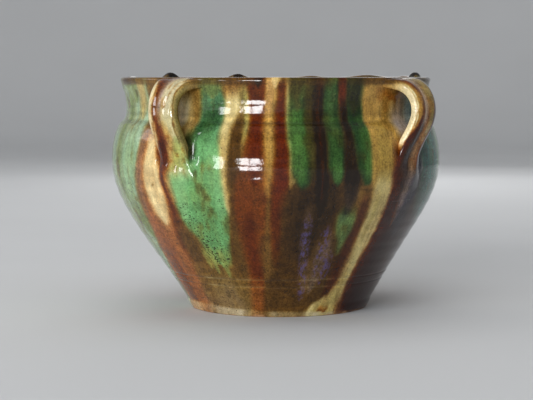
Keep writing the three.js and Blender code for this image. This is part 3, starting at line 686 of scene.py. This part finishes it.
def add_mesh(name, points, faces):
    """A smooth mesh of these points and groups of faces, in an object that stands in the scene."""
    mesh = bpy.data.meshes.new(name)
    mesh.from_pydata(points.tolist(), [], [face for group in faces for face in group.tolist()])
    mesh.polygons.foreach_set("use_smooth", np.ones(len(mesh.polygons), bool))
    piece = bpy.data.objects.new(name, mesh)
    bpy.context.scene.collection.objects.link(piece)
    return piece


def clay_mesh(name, points, faces, colour, marks):
    """A mesh that carries its glaze colour at each point, and with it how bare the clay is, how
    much sheen and how many specks it has."""
    piece = add_mesh(name, points, faces)
    for layer_name, values in (("glaze", np.clip(colour, 0.0, 1.0)), ("marks", marks)):
        layer = piece.data.color_attributes.new(layer_name, "FLOAT_COLOR", "POINT")
        layer.data.foreach_set("color", np.pad(values, ((0, 0), (0, 1)), constant_values=1.0).ravel())
    return piece


def new_material(name):
    """An empty material of that name, and its tree of nodes."""
    material = bpy.data.materials.new(name)
    material.use_nodes = True
    material.node_tree.nodes.clear()
    return material, material.node_tree


def node(tree, kind, settings=None, **links):
    """Adds a shader node. Settings name its properties or, in brackets, its sockets' values. Each
    link names an input, with _ for a space, and gives the output that goes in, or a node, whose
    first output in use does."""
    made = tree.nodes.new("ShaderNode" + kind)
    for key, value in (settings or {}).items():
        if key.startswith("["):
            inner = key[1:-1]
            made.inputs[int(inner) if inner.isdigit() else inner].default_value = value
        else:
            setattr(made, key, value)
    for key, source in links.items():
        socket = made.inputs[int(key[1:])] if key[1:].isdigit() else made.inputs[key.replace("_", " ")]
        if isinstance(source, bpy.types.Node):
            source = next(output for output in source.outputs if output.enabled)
        tree.links.new(source, socket)
    return made


def solid(colour):
    """A hex colour as a socket takes it: linear, with an alpha of 1."""
    return (*linear(colour), 1.0)


# How each kind of unevenness darkens and lightens the glaze: the noise's scale, detail and
# roughness, how it is squeezed along x, y and z, the half span that it is read over, the swing
MOTTLES = [
    # slips mixed in streaks about 3 mm wide and ten times as long
    (360.0, 4.0, 0.65, (1.0, 1.0, 0.1), 0.2, 0.16),
    # clouds of thicker and thinner glaze about 9 mm across, mottled down to half a millimetre
    (110.0, 5.0, 0.66, (1.0, 1.0, 1.0), 0.2, 0.2),
    # a grain of 1 to 2 mm where the melt took up iron from the clay
    (640.0, 3.0, 0.7, (1.0, 1.0, 1.0), 0.2, 0.3),
    # fine lines of the potter's fingers, 1.6 mm apart
    (620.0, 2.0, 0.5, (0.1, 0.1, 1.0), 0.15, 0.03),
]


def lead_glazed_earthenware():
    """Lead glazed earthenware, fired glossy: a clear melt, nearly smooth and matched at an IOR of
    1.42, over slips that ran. It shows sharp window reflections that waver a little, streaks down
    the wall where the slips mixed, dark iron specks and pinholes, and dull buff clay where it
    stops."""
    material, tree = new_material("lead_glazed_earthenware")
    place = node(tree, "TexCoord").outputs["Object"]
    glaze = node(tree, "Attribute", {"attribute_name": "glaze"}).outputs["Color"]
    marks = node(tree, "Attribute", {"attribute_name": "marks"}).outputs["Color"]
    marks = node(tree, "SeparateColor", Color=marks).outputs
    noises = []
    light = None
    for scale, detail, rough, squeeze, span, swing in MOTTLES:
        squeezed = node(tree, "Mapping", {"[Scale]": squeeze}, Vector=place)
        noises.append(node(tree, "TexNoise", {"[Scale]": scale, "[Detail]": detail, "[Roughness]": rough},
                           Vector=squeezed))
        tone = node(tree, "MapRange", {"[From Min]": 0.5 - span, "[From Max]": 0.5 + span,
                                       "[To Min]": 1.0 - swing, "[To Max]": 1.0 + swing}, Value=noises[-1])
        light = tone if light is None else node(tree, "Math", {"operation": "MULTIPLY"}, _0=light, _1=tone)
    streak, cloud = noises[:2]
    # all of it is stronger in dark glaze than in pale
    paleness = node(tree, "SeparateColor", Color=glaze).outputs["Green"]
    contrast = node(tree, "MapRange", {"[From Min]": 0.1, "[From Max]": 0.45, "[To Min]": 1.7,
                                       "[To Max]": 0.75}, Value=paleness)
    light = node(tree, "Math", {"operation": "SUBTRACT", "[1]": 1.0}, _0=light)
    light = node(tree, "Math", {"operation": "MULTIPLY_ADD", "[2]": 1.0}, _0=light, _1=contrast)
    shaded = node(tree, "VectorMath", {"operation": "SCALE"}, Vector=glaze, Scale=light.outputs[0])
    # violet and blue where the sheen lies, broken into the same streaks
    broken = node(tree, "MapRange", {"[From Min]": 0.46, "[From Max]": 0.64, "[To Max]": 0.75},
                  Value=streak)
    broken = node(tree, "Math", {"operation": "MULTIPLY"}, _0=broken, _1=marks["Green"])
    violet = node(tree, "Mix", {"data_type": "RGBA", "[6]": solid("#5a4a58"), "[7]": solid("#4c4c9c")},
                  _0=cloud)
    sheened = node(tree, "Mix", {"data_type": "RGBA"}, _0=broken, _6=shaded, _7=violet)
    # iron specks 0.4 to 1.5 mm across, a little larger than the real ones so that they show
    grit = node(tree, "TexNoise", {"[Scale]": 620.0, "[Detail]": 1.0}, Vector=place)
    grit = node(tree, "Math", {"operation": "MULTIPLY_ADD", "[1]": 0.15}, _0=marks["Blue"], _2=grit)
    dots = node(tree, "MapRange", {"[From Min]": 0.775, "[From Max]": 0.82, "[To Max]": 0.85}, Value=grit)
    dotted = node(tree, "Mix", {"data_type": "RGBA", "[7]": solid("#24180c")}, _0=dots, _6=sheened)
    # orange peel: the melt stands 0.02 mm uneven every 5 mm, and a little every 1.5 mm
    peel = node(tree, "TexNoise", {"[Scale]": 190.0, "[Detail]": 2.0, "[Roughness]": 0.45}, Vector=place)
    peel = node(tree, "Bump", {"[Strength]": 1.0, "[Distance]": 0.00012}, Height=peel)
    pits = node(tree, "Bump", {"[Strength]": 0.5, "[Distance]": 0.00015, "invert": True},
                Height=dots, Normal=peel)
    coat = node(tree, "BsdfPrincipled", {"[Roughness]": 0.08, "[IOR]": 1.42},
                Base_Color=dotted, Normal=pits)
    # the fired clay, buff with a little grog in it
    grog = node(tree, "TexNoise", {"[Scale]": 700.0, "[Detail]": 3.0}, Vector=place)
    clay = node(tree, "Mix", {"data_type": "RGBA", "[6]": solid("#9a6d48"), "[7]": solid("#c79d72")},
                _0=grog)
    coarse = node(tree, "Bump", {"[Strength]": 0.5, "[Distance]": 0.0003}, Height=grog)
    biscuit = node(tree, "BsdfPrincipled", {"[Roughness]": 0.88, "[IOR]": 1.5},
                   Base_Color=clay, Normal=coarse)
    both = node(tree, "MixShader", _0=marks["Red"], _1=coat, _2=biscuit)
    node(tree, "OutputMaterial", Surface=both)
    return material


earthenware = lead_glazed_earthenware()
colour = np.concatenate([colour, np.stack([linear(UMBER), honey[-1]])])
marks = np.concatenate([np.stack([bare, sheen, specks], axis=1), [[1.0, 0.0, 0.0], [0.0, 0.0, 0.1]]])
pot = clay_mesh("thrown_pot", points, faces, colour, marks)
pot.data.materials.append(earthenware)
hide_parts("pot_body")
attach(pot, "root")

# Four pulled straps of the same clay, each with a finger's groove down its front. The upper end
# is spread along the underside of the lip and the lower end is smeared down into the belly, and
# both were luted on before the glaze.

HANDLE_REACH = 15.5
STRAP_WIDTH = 27.8
STRAP_THICKNESS = 11.2
FRONT_SQUARENESS = 3.6
BACK_SQUARENESS = 4.6
GROOVE_DEPTH = 1.5
GROOVE_PLACE = -0.2
GROOVE_WIDTH = 0.28
UPPER_ROOT_THICKNESS = 6.5
UPPER_ROOT_DEPTH = 5.2
EDGE_PRESSED_IN = 4.8
LOWER_ROOT_WIDTH = 44.0
LOWER_ROOT_DEPTH = 4.4
SWELLING = 5.4
SWELLING_END = 101.0
BULGE_HEIGHT = 175.5
JOINT_HEIGHT = 136.0
JOINT_RADIUS = 143.5
FADE_LENGTH = 36.0
STATIONS = 150
AROUND = 72
# The slips on each strap: its ground, and bands as colour, softness of the edge, thickness, heights,
# middles and half widths. These run across the front from -1 to 1, and on over the sides to -2 and 2.
FRONT_STRAP = (FLAX, [
    (OAT, 0.4, 0.9, (212, 166, 158, 152, 148), (-1.1, -1.1, -1.1, -1.2, -1.2), (0.5, 0.56, 0.4, 0.1, 0)),
    (TAN, 0.5, 0.6, (212, 192, 180, 168, 156, 140, 118), (-0.2, -0.2, -0.2, -0.2, -0.25, -0.3, -0.5),
     (0.5, 0.4, 0.24, 0.4, 0.7, 0.9, 0.7)),
    (CHESTNUT, 0.36, 1, (212, 198, 190, 178, 168, 160, 152, 146, 138, 126, 110),
     (-0.26, -0.3, -0.3, -0.3, -0.24, -0.12, -0.14, -0.4, -0.6, -0.6, -0.5),
     (0.38, 0.3, 0.2, 0.14, 0.18, 0.24, 0.34, 0.42, 0.44, 0.3, 0.2)),
    (OXBLOOD, 0.3, 0.7, (160, 152, 142, 132), (-0.12, -0.16, -0.56, -0.6), (0, 0.14, 0.2, 0)),
    # painted sheen: the pale mauve high on the front and the mauve down the groove's edge
    (DUSK, 0.5, 0.3, (212, 196, 180, 170), 0.5, (0.6, 0.5, 0.3, 0)),
    (MAUVE, 0.4, 0.8, (212, 198, 186, 172, 164), (-0.04, -0.06, -0.08, -0.1, -0.05),
     (0.26, 0.22, 0.18, 0.12, 0)),
    (KELP, 0.18, 0.95, (212, 170, 150, 138, 130), (1.55, 1.55, 1.55, 1.6, 1.7),
     (0.55, 0.55, 0.58, 0.5, 0)),
    (UMBER, 0.16, 0.6, (206, 180, 158, 148), (1, 0.98, 0.98, 1), (0.02, 0.03, 0.02, 0)),
    (BRONZE, 0.3, 0.6, (212, 160, 140), 1.95, (0.3, 0.3, 0)),
    (HONEY, 0.5, 0.7, (168, 160, 150, 138, 126), (0.2, 0.25, 0.3, 0.2, 0.1), (0, 0.2, 0.3, 0.4, 0)),
    (PEAR, 0.5, 0.7, (156, 150, 142, 128), (0.85, 0.8, 0.75, 0.6), (0, 0.3, 0.5, 0.7)),
])
RIGHT_STRAP = (SIENNA_DEEP, [
    (HONEY, 0.4, 0.9, (212, 190, 172, 160, 152), (-0.9, -0.8, -0.8, -0.95, -1),
     (0.5, 0.34, 0.26, 0.1, 0)),
    (PARCHMENT, 0.4, 1, (212, 190, 152, 143), (-1.2, -1.3, -1.4, -1.4), (0.24, 0.24, 0.22, 0)),
    (OAT, 0.3, 1, (206, 198, 184, 154, 144), (-1.6, -1.6, -1.7, -1.7, -1.6), (0, 0.24, 0.4, 0.4, 0)),
    # painted highlight: a thin pale line along the edge between the strap's side and front
    (PUTTY, 0.1, 1, (198, 190, 176, 167, 160), (-1.04, -1.05, -1.06, -1.08, -1.1),
     (0, 0.06, 0.07, 0.05, 0)),
    (CHESTNUT, 0.24, 0.6, (208, 201, 195, 188), (-0.72, -0.7, -0.66, -0.6), (0.1, 0.22, 0.14, 0)),
    (OXBLOOD, 0.3, 0.9, (172, 166, 160, 150, 140, 120), (-0.6, -0.66, -0.74, -0.95, -0.95, -0.9),
     (0, 0.12, 0.22, 0.36, 0.4, 0.4)),
    # painted reflection: the grey down the groove, here and lower down at 0.1, stands in for the groove's
    # reflection
    (DUSK, 0.24, 0.9, (212, 196, 172, 160), (-0.2, -0.16, -0.18, -0.22), (0.22, 0.2, 0.18, 0)),
    # painted reflection: slate blue on the dark glaze, here and along the outer edge, stands in for a blue
    # reflection
    (SLATE, 0.3, 0.8, (168, 160, 148, 130, 100), (-0.3, -0.36, -0.44, -0.5, -0.5),
     (0, 0.2, 0.26, 0.3, 0.3)),
    (KELP, 0.35, 0.95, (212, 190, 176, 160, 150), (0.4, 0.4, 0.36, 0.3, 0.26), (0.5, 0.44, 0.3, 0.22, 0)),
    (CHESTNUT, 0.3, 0.8, (184, 176, 166, 158), (0.66, 0.6, 0.6, 0.6), (0, 0.16, 0.1, 0)),
    (DUSK, 0.4, 0.7, (168, 160, 146, 120, 100), (0.1, 0.16, 0.14, 0.1, 0.1), (0, 0.16, 0.22, 0.22, 0.2)),
    (SLATE, 0.3, 1, (204, 190, 174, 160, 100), (1.3, 1.3, 1.3, 1.3, 1.2), (0.2, 0.42, 0.6, 0.6, 0.6)),
])
FAR_STRAP = (HONEY, [
    (CREAM, 0.5, 0.9, (212, 170, 140, 128), 1.3, (0.7, 0.7, 0.6, 0)),
    (CHESTNUT, 0.35, 1, (212, 170, 140, 100), (0.1, 0.05, 0, 0), (0.2, 0.24, 0.34, 0.3)),
    (OXBLOOD, 0.25, 0.8, (200, 170, 140, 100), (0.05, 0, -0.04, 0), (0, 0.1, 0.16, 0.14)),
    (PEAR, 0.4, 0.9, (196, 180, 160, 140, 100), (-0.9, -0.9, -0.9, -0.8, -0.8), (0, 0.2, 0.4, 0.5, 0.5)),
    (KELP, 0.3, 0.9, (212, 160, 140), (-1.5, -1.6, -1.6), (0.5, 0.4, 0.4)),
])
# The turn of each handle, how far its foot leans aside, how wide its upper root is, and its slips
HANDLES = {
    "handle_right": (-0.7, -3.2, 76.0, RIGHT_STRAP),
    "handle_back": (90.0, 0.0, 64.0, FAR_STRAP),
    "handle_left": (180.0, 0.0, 68.0, FAR_STRAP),
    "handle_front": (270.3, 1.4, 62.0, FRONT_STRAP),
}


def strap_line():
    """The middle line of a strap as radius and height: straight out from the lip, round and down
    to the belly, and on into the wall, sampled at equal lengths."""
    half = STRAP_THICKNESS / 2
    lip = np.array((RIM_RADIUS, POT_HEIGHT - 0.4 - half))
    bulge = np.array((BELLY_RADIUS + HANDLE_REACH - half, BULGE_HEIGHT))
    joint = np.array((JOINT_RADIUS, JOINT_HEIGHT))
    out, rise = np.abs(bulge - lip)
    drop = BULGE_HEIGHT - JOINT_HEIGHT
    return along(np.concatenate([
        bend([lip - (LIP_THICKNESS / 2, 0.0), lip], 30)[:-1],
        bend([lip, lip + (out * 0.55, 0.0), bulge + (0.0, rise * 0.54), bulge], 200)[:-1],
        bend([bulge, bulge - (0.0, drop * 0.35), joint + (2.5, drop * 0.33), joint], 200)[:-1],
        bend([joint, joint - (1.6, FADE_LENGTH * 0.33), joint - (5.0, FADE_LENGTH * 0.7),
              joint - (WALL_THICKNESS + half, FADE_LENGTH)], 200),
    ]), STATIONS)


def strap_slips(across, height, name):
    """The colour of a strap: its own bands from edge to edge, pushed about a little, with brown
    blots on its front and tan where it is thin along its back."""
    ground, bands = HANDLES[name][3]
    seed = 50 + len(name)
    across = across + 0.06 * drift(across * 40.0, height, 20, 16.0, seed)
    across = across + 0.04 * drift(across * 90.0, height, 60, 5.0, seed + 1)
    colour = np.tile(linear(ground), (len(across), 1))
    for shade, softness, thickness, *band in bands:
        levels, middles, halves = np.array(np.broadcast_arrays(*band), float)[:, ::-1]
        half = np.interp(height, levels, halves, left=-1.0, right=-1.0)
        inside = half - np.abs(across - np.interp(height, levels, middles))
        colour = lay(colour, shade, thickness * ease(0.5 + inside / softness))
    blot = ease((drift(across * 60.0, height, 44, 5.0, seed + 3) - 0.15) / 0.7)
    colour = lay(colour, CHESTNUT, 0.22 * blot * ease((1.3 - np.abs(across)) / 0.3))
    colour = lay(colour, TAN, 0.5 * ease((np.abs(across) - 1.8) / 0.18))
    return colour * (1.0 + 0.1 * drift(across * 60.0, height, 40, 6.0, seed + 2))[:, None]


def strap(name):
    """A strap: an outline carried along its line. The outline is a squared ellipse, with a groove
    down its front. Near the lip it widens and thins, and its edges are pressed in under the lip.
    Below the joint it widens again, and its front turns into a low swelling of the wall,
    (1 - across²) to the power 1.6, that dies away."""
    azimuth, lean, root_width, _ = HANDLES[name]
    middle = strap_line()
    tangent = tangents(middle)
    angle = np.arange(AROUND) * 2 * math.pi / AROUND
    front = np.sin(angle) > 0
    power = 2 / np.where(front, FRONT_SQUARENESS, BACK_SQUARENESS)
    share, stand = (
        np.broadcast_to(np.sign(wave) * np.abs(wave) ** power, (STATIONS, AROUND))
        for wave in (np.cos(angle), np.sin(angle))
    )
    level = middle[:, 1:]
    beyond = np.maximum(0.0, middle[:, :1] - RIM_RADIUS)
    low_half = (np.arange(STATIONS) > np.argmax(middle[:, 0]))[:, None]
    upper = np.where(low_half, 0.0, np.exp(-beyond / 5.0) * ease((level - BULGE_HEIGHT) / 16.0))
    lower = np.where(low_half, ease((JOINT_HEIGHT + 6.0 - level) / 30.0), 0.0)
    width = STRAP_WIDTH + (root_width - STRAP_WIDTH) * upper + (LOWER_ROOT_WIDTH - STRAP_WIDTH) * lower
    groove = GROOVE_DEPTH * (1 - 0.6 * upper) * (1 - lower) * bell(share, GROOVE_PLACE, GROOVE_WIDTH)
    round_front = groove + (0.9 + 0.7 * upper) * share**2 * stand
    thin_back = (STRAP_THICKNESS - UPPER_ROOT_THICKNESS) * upper * np.abs(share) ** 1.5 * stand
    out = STRAP_THICKNESS / 2 * stand - np.where(front, round_front, thin_back)
    radius = middle[:, :1] - tangent[:, 1:] * out
    height = level + tangent[:, :1] * out
    # where the front sinks into the wall, as a swelling with the last of the groove
    sink = np.where(front & low_half, ease((JOINT_HEIGHT + 3.0 - level) / 22.0), 0.0)
    bulk = 0.5 + SWELLING * ease((level - SWELLING_END) / 30.0)
    swelling = wall_radius(level) - 0.5 + bulk * (1 - share**2) ** 1.6
    swelling = swelling - 1.1 * ease((level - SWELLING_END - 3.0) / 20.0) * bell(share, GROOVE_PLACE, 0.22)
    radius = radius * (1 - sink) + swelling * sink
    height = height * (1 - sink) + level * sink
    lean_share = 1 - ease((level - JOINT_HEIGHT) / (BULGE_HEIGHT - JOINT_HEIGHT))
    reach = np.degrees(share * width / 2 / np.maximum(middle[:, :1], 60.0))
    turn = azimuth + lean * lean_share + reach
    wave = drift(turn * 3.0 + azimuth, height, 90, 22.0, 60 + len(name))
    radius = radius + 0.35 * wave * (1 - sink) * (stand > 0) - EDGE_PRESSED_IN * upper * np.abs(share) ** 4
    # no point comes through the wall into the hollow
    deepest = np.where(low_half, wall_radius(height) - LOWER_ROOT_DEPTH, RIM_RADIUS - UPPER_ROOT_DEPTH)
    radius = np.maximum(radius, deepest)
    points = pot_point(turn, radius, height, np.zeros_like(radius)).reshape(-1, 3)
    across = np.arange(AROUND // 2)
    cap = np.stack([across, across + 1, AROUND - 1 - across, (AROUND - across) % AROUND], axis=1)
    caps = [cap[:1, :3], cap[-1:, [0, 1, 3]], cap[1:-1]]
    caps = caps + [part[:, ::-1] + (STATIONS - 1) * AROUND for part in caps]
    faces = [ring_faces(STATIONS, AROUND)[:, [0, 3, 2, 1]], *caps]
    # its own slips, which merge into the pot's where it grows out of the wall and the lip
    band = np.where(stand > 0, share, np.where(share < 0, -1, 1)) * (1.5 - 0.5 * stand)
    edges = ease((np.abs(share) - 0.6) / 0.4)
    merge = np.maximum(ease((134.0 - level) / 18.0), ease((142.0 - level) / 14.0) * edges * low_half)
    merge = np.maximum(merge, ease(upper * 1.6) * ease((np.abs(share) * width / 2 - 11.0) / 7.0))
    own = strap_slips(band.ravel(), height.ravel(), name)
    colour = lay(own, slips(turn.ravel(), height.ravel()), np.clip(merge, 0.0, 1.0).ravel())
    piece = clay_mesh(f"strap_{name}", points, faces, colour, np.tile([0.0, 0.0, 0.2], (len(points), 1)))
    piece.data.materials.append(earthenware)
    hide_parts(name)
    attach(piece, "root")


for name in HANDLES:
    strap(name)

# A plain pale floor that sweeps up behind the pot into a backdrop, as a photographer's roll of
# matt white paper does.


def paper_roll():
    """A sheet that lies flat, turns up in a quarter circle all round, and stands: its height at a
    distance from the middle follows that circle and then the upright."""
    curve = np.linspace(0.1, 1.57, 14)
    reach = np.concatenate([np.linspace(0.0, 3.2, 9)[1:], 3.2 + 1.2 * np.sin(curve), np.full(4, 4.4)])
    lift = np.concatenate([np.zeros(8), 1.2 - 1.2 * np.cos(curve), np.linspace(1.6, 4.2, 4)])
    ring = np.arange(96) * 2 * math.pi / 96
    sheet = [reach[:, None] * np.cos(ring), reach[:, None] * np.sin(ring), lift[:, None] + ring * 0.0]
    points = np.concatenate([np.stack(sheet, axis=-1).reshape(-1, 3), np.zeros((1, 3))])
    faces = [ring_faces(len(reach), 96)[:, [0, 3, 2, 1]], fan(len(points) - 1, 0, 96)]
    return add_mesh("paper_roll", points, faces)


def matt_paper():
    """Matt white paper: no shine, and a very slight unevenness of tone."""
    material, tree = new_material("matt_paper")
    place = node(tree, "TexCoord").outputs["Object"]
    tone = node(tree, "TexNoise", {"[Scale]": 3.0, "[Detail]": 2.0}, Vector=place)
    shade = node(tree, "Mix", {"data_type": "RGBA", "[6]": solid("#c6c7c8"), "[7]": solid("#cccdce")},
                 _0=tone)
    paper = node(tree, "BsdfPrincipled", {"[Roughness]": 0.95, "[Specular IOR Level]": 0.0},
                 Base_Color=shade)
    node(tree, "OutputMaterial", Surface=paper)
    return material


roll = paper_roll()
roll.data.materials.append(matt_paper())

# Soft studio light: one large box at the front left, an even surround, a fill behind and one
# overhead. The glaze mirrors four small panes and a tall one, which light nothing, and dim boxes
# at the left and behind. The backdrop has a lamp of its own.


def softbox(name, size, turn, distance, height, aim, watts, mirrored=True, lights=True):
    """An area lamp of that width and height in metres, placed at a turn in degrees from the side
    that the camera sees, a distance from the pot and a height, and facing a height on its axis. It
    can be kept out of the glaze's mirror, or be seen in that mirror alone."""
    lamp = bpy.data.lights.new(name, "AREA")
    lamp.shape = "RECTANGLE"
    lamp.size, lamp.size_y = size
    lamp.energy = watts
    holder = bpy.data.objects.new(name, lamp)
    angle = math.radians(GLAZE_FACE + turn)
    holder.location = (distance * math.cos(angle), distance * math.sin(angle), height)
    facing = holder.location - Vector((0.0, 0.0, aim))
    holder.rotation_euler = facing.to_track_quat("Z", "Y").to_euler()
    holder.visible_camera = False
    holder.visible_glossy = mirrored
    holder.visible_diffuse = lights
    bpy.context.scene.collection.objects.link(holder)
    return holder


softbox("window_pane_right", (0.105, 0.18), -12.9, 1.0, 0.1, 0.13, 1.8, lights=False)
softbox("window_pane_middle", (0.105, 0.18), -20.1, 1.0, 0.1, 0.13, 1.8, lights=False)
softbox("window_pane_left", (0.11, 0.2), -36.0, 1.0, 0.15, 0.13, 1.1, lights=False)
softbox("window_pane_far", (0.16, 0.24), -62.0, 1.0, 0.16, 0.13, 1.7, lights=False)
softbox("window_top", (0.3, 0.55), -66.0, 1.3, 0.75, 0.18, 7.0, lights=False)
softbox("window_light", (2.6, 1.5), -30.0, 3.2, 1.0, 0.1, 100.0, mirrored=False)
softbox("side_left", (0.5, 0.45), -103.0, 1.9, 0.84, 0.15, 1.6)
softbox("side_left_edge", (0.9, 0.8), -103.0, 1.95, 0.84, 0.15, 1.4)
softbox("behind", (0.5, 0.6), 178.0, 1.8, 0.5, 0.15, 1.3)
softbox("back_fill", (1.4, 1.0), 165.0, 1.9, 0.9, 0.1, 6.0, mirrored=False)
softbox("overhead", (2.4, 2.4), -40.0, 0.3, 2.3, 0.1, 15.0, mirrored=False)
backdrop_lamp = softbox("backdrop_lamp", (2.4, 2.0), 180.0, 1.6, 3.4, 0.2, 17.0, mirrored=False)
to_side = math.radians(GLAZE_FACE)
away = Vector((-math.cos(to_side), -math.sin(to_side), 0.0))
foot_of_backdrop = away * 3.7 + Vector((0.0, 0.0, 0.3))
facing = backdrop_lamp.location - foot_of_backdrop
backdrop_lamp.rotation_euler = facing.to_track_quat("Z", "Y").to_euler()

world = bpy.data.worlds.new("even_surround")
world.use_nodes = True
world.node_tree.nodes["Background"].inputs["Color"].default_value = (0.95, 0.97, 1.0, 1.0)
world.node_tree.nodes["Background"].inputs["Strength"].default_value = 0.32
bpy.context.scene.world = world
bpy.context.scene.view_settings.view_transform = "Standard"

# The camera stands 1.4 m away at the middle of the side between two handles, level with the rim,
# and looks down a little with a long lens.

CAMERA_DISTANCE = 1.398
CAMERA_HEIGHT = 0.204
IMAGE_WIDTH = 533
FOCAL_LENGTH_IN_PIXELS = 1570
CAMERA_DIP = math.atan(124 / FOCAL_LENGTH_IN_PIXELS)
CAMERA_SWING = math.radians(0.327)

right = Vector((-math.sin(to_side), math.cos(to_side), 0.0))
ahead = (away * math.cos(CAMERA_SWING) - right * math.sin(CAMERA_SWING)) * math.cos(CAMERA_DIP)
ahead.z = -math.sin(CAMERA_DIP)
lens = bpy.data.cameras.new("camera")
lens.sensor_width = 36.0
lens.lens = lens.sensor_width * FOCAL_LENGTH_IN_PIXELS / IMAGE_WIDTH
camera = bpy.data.objects.new("camera", lens)
camera.location = away * -CAMERA_DISTANCE + Vector((0.0, 0.0, CAMERA_HEIGHT))
camera.rotation_euler = ahead.to_track_quat("-Z", "Y").to_euler()
bpy.context.scene.collection.objects.link(camera)
bpy.context.scene.camera = camera
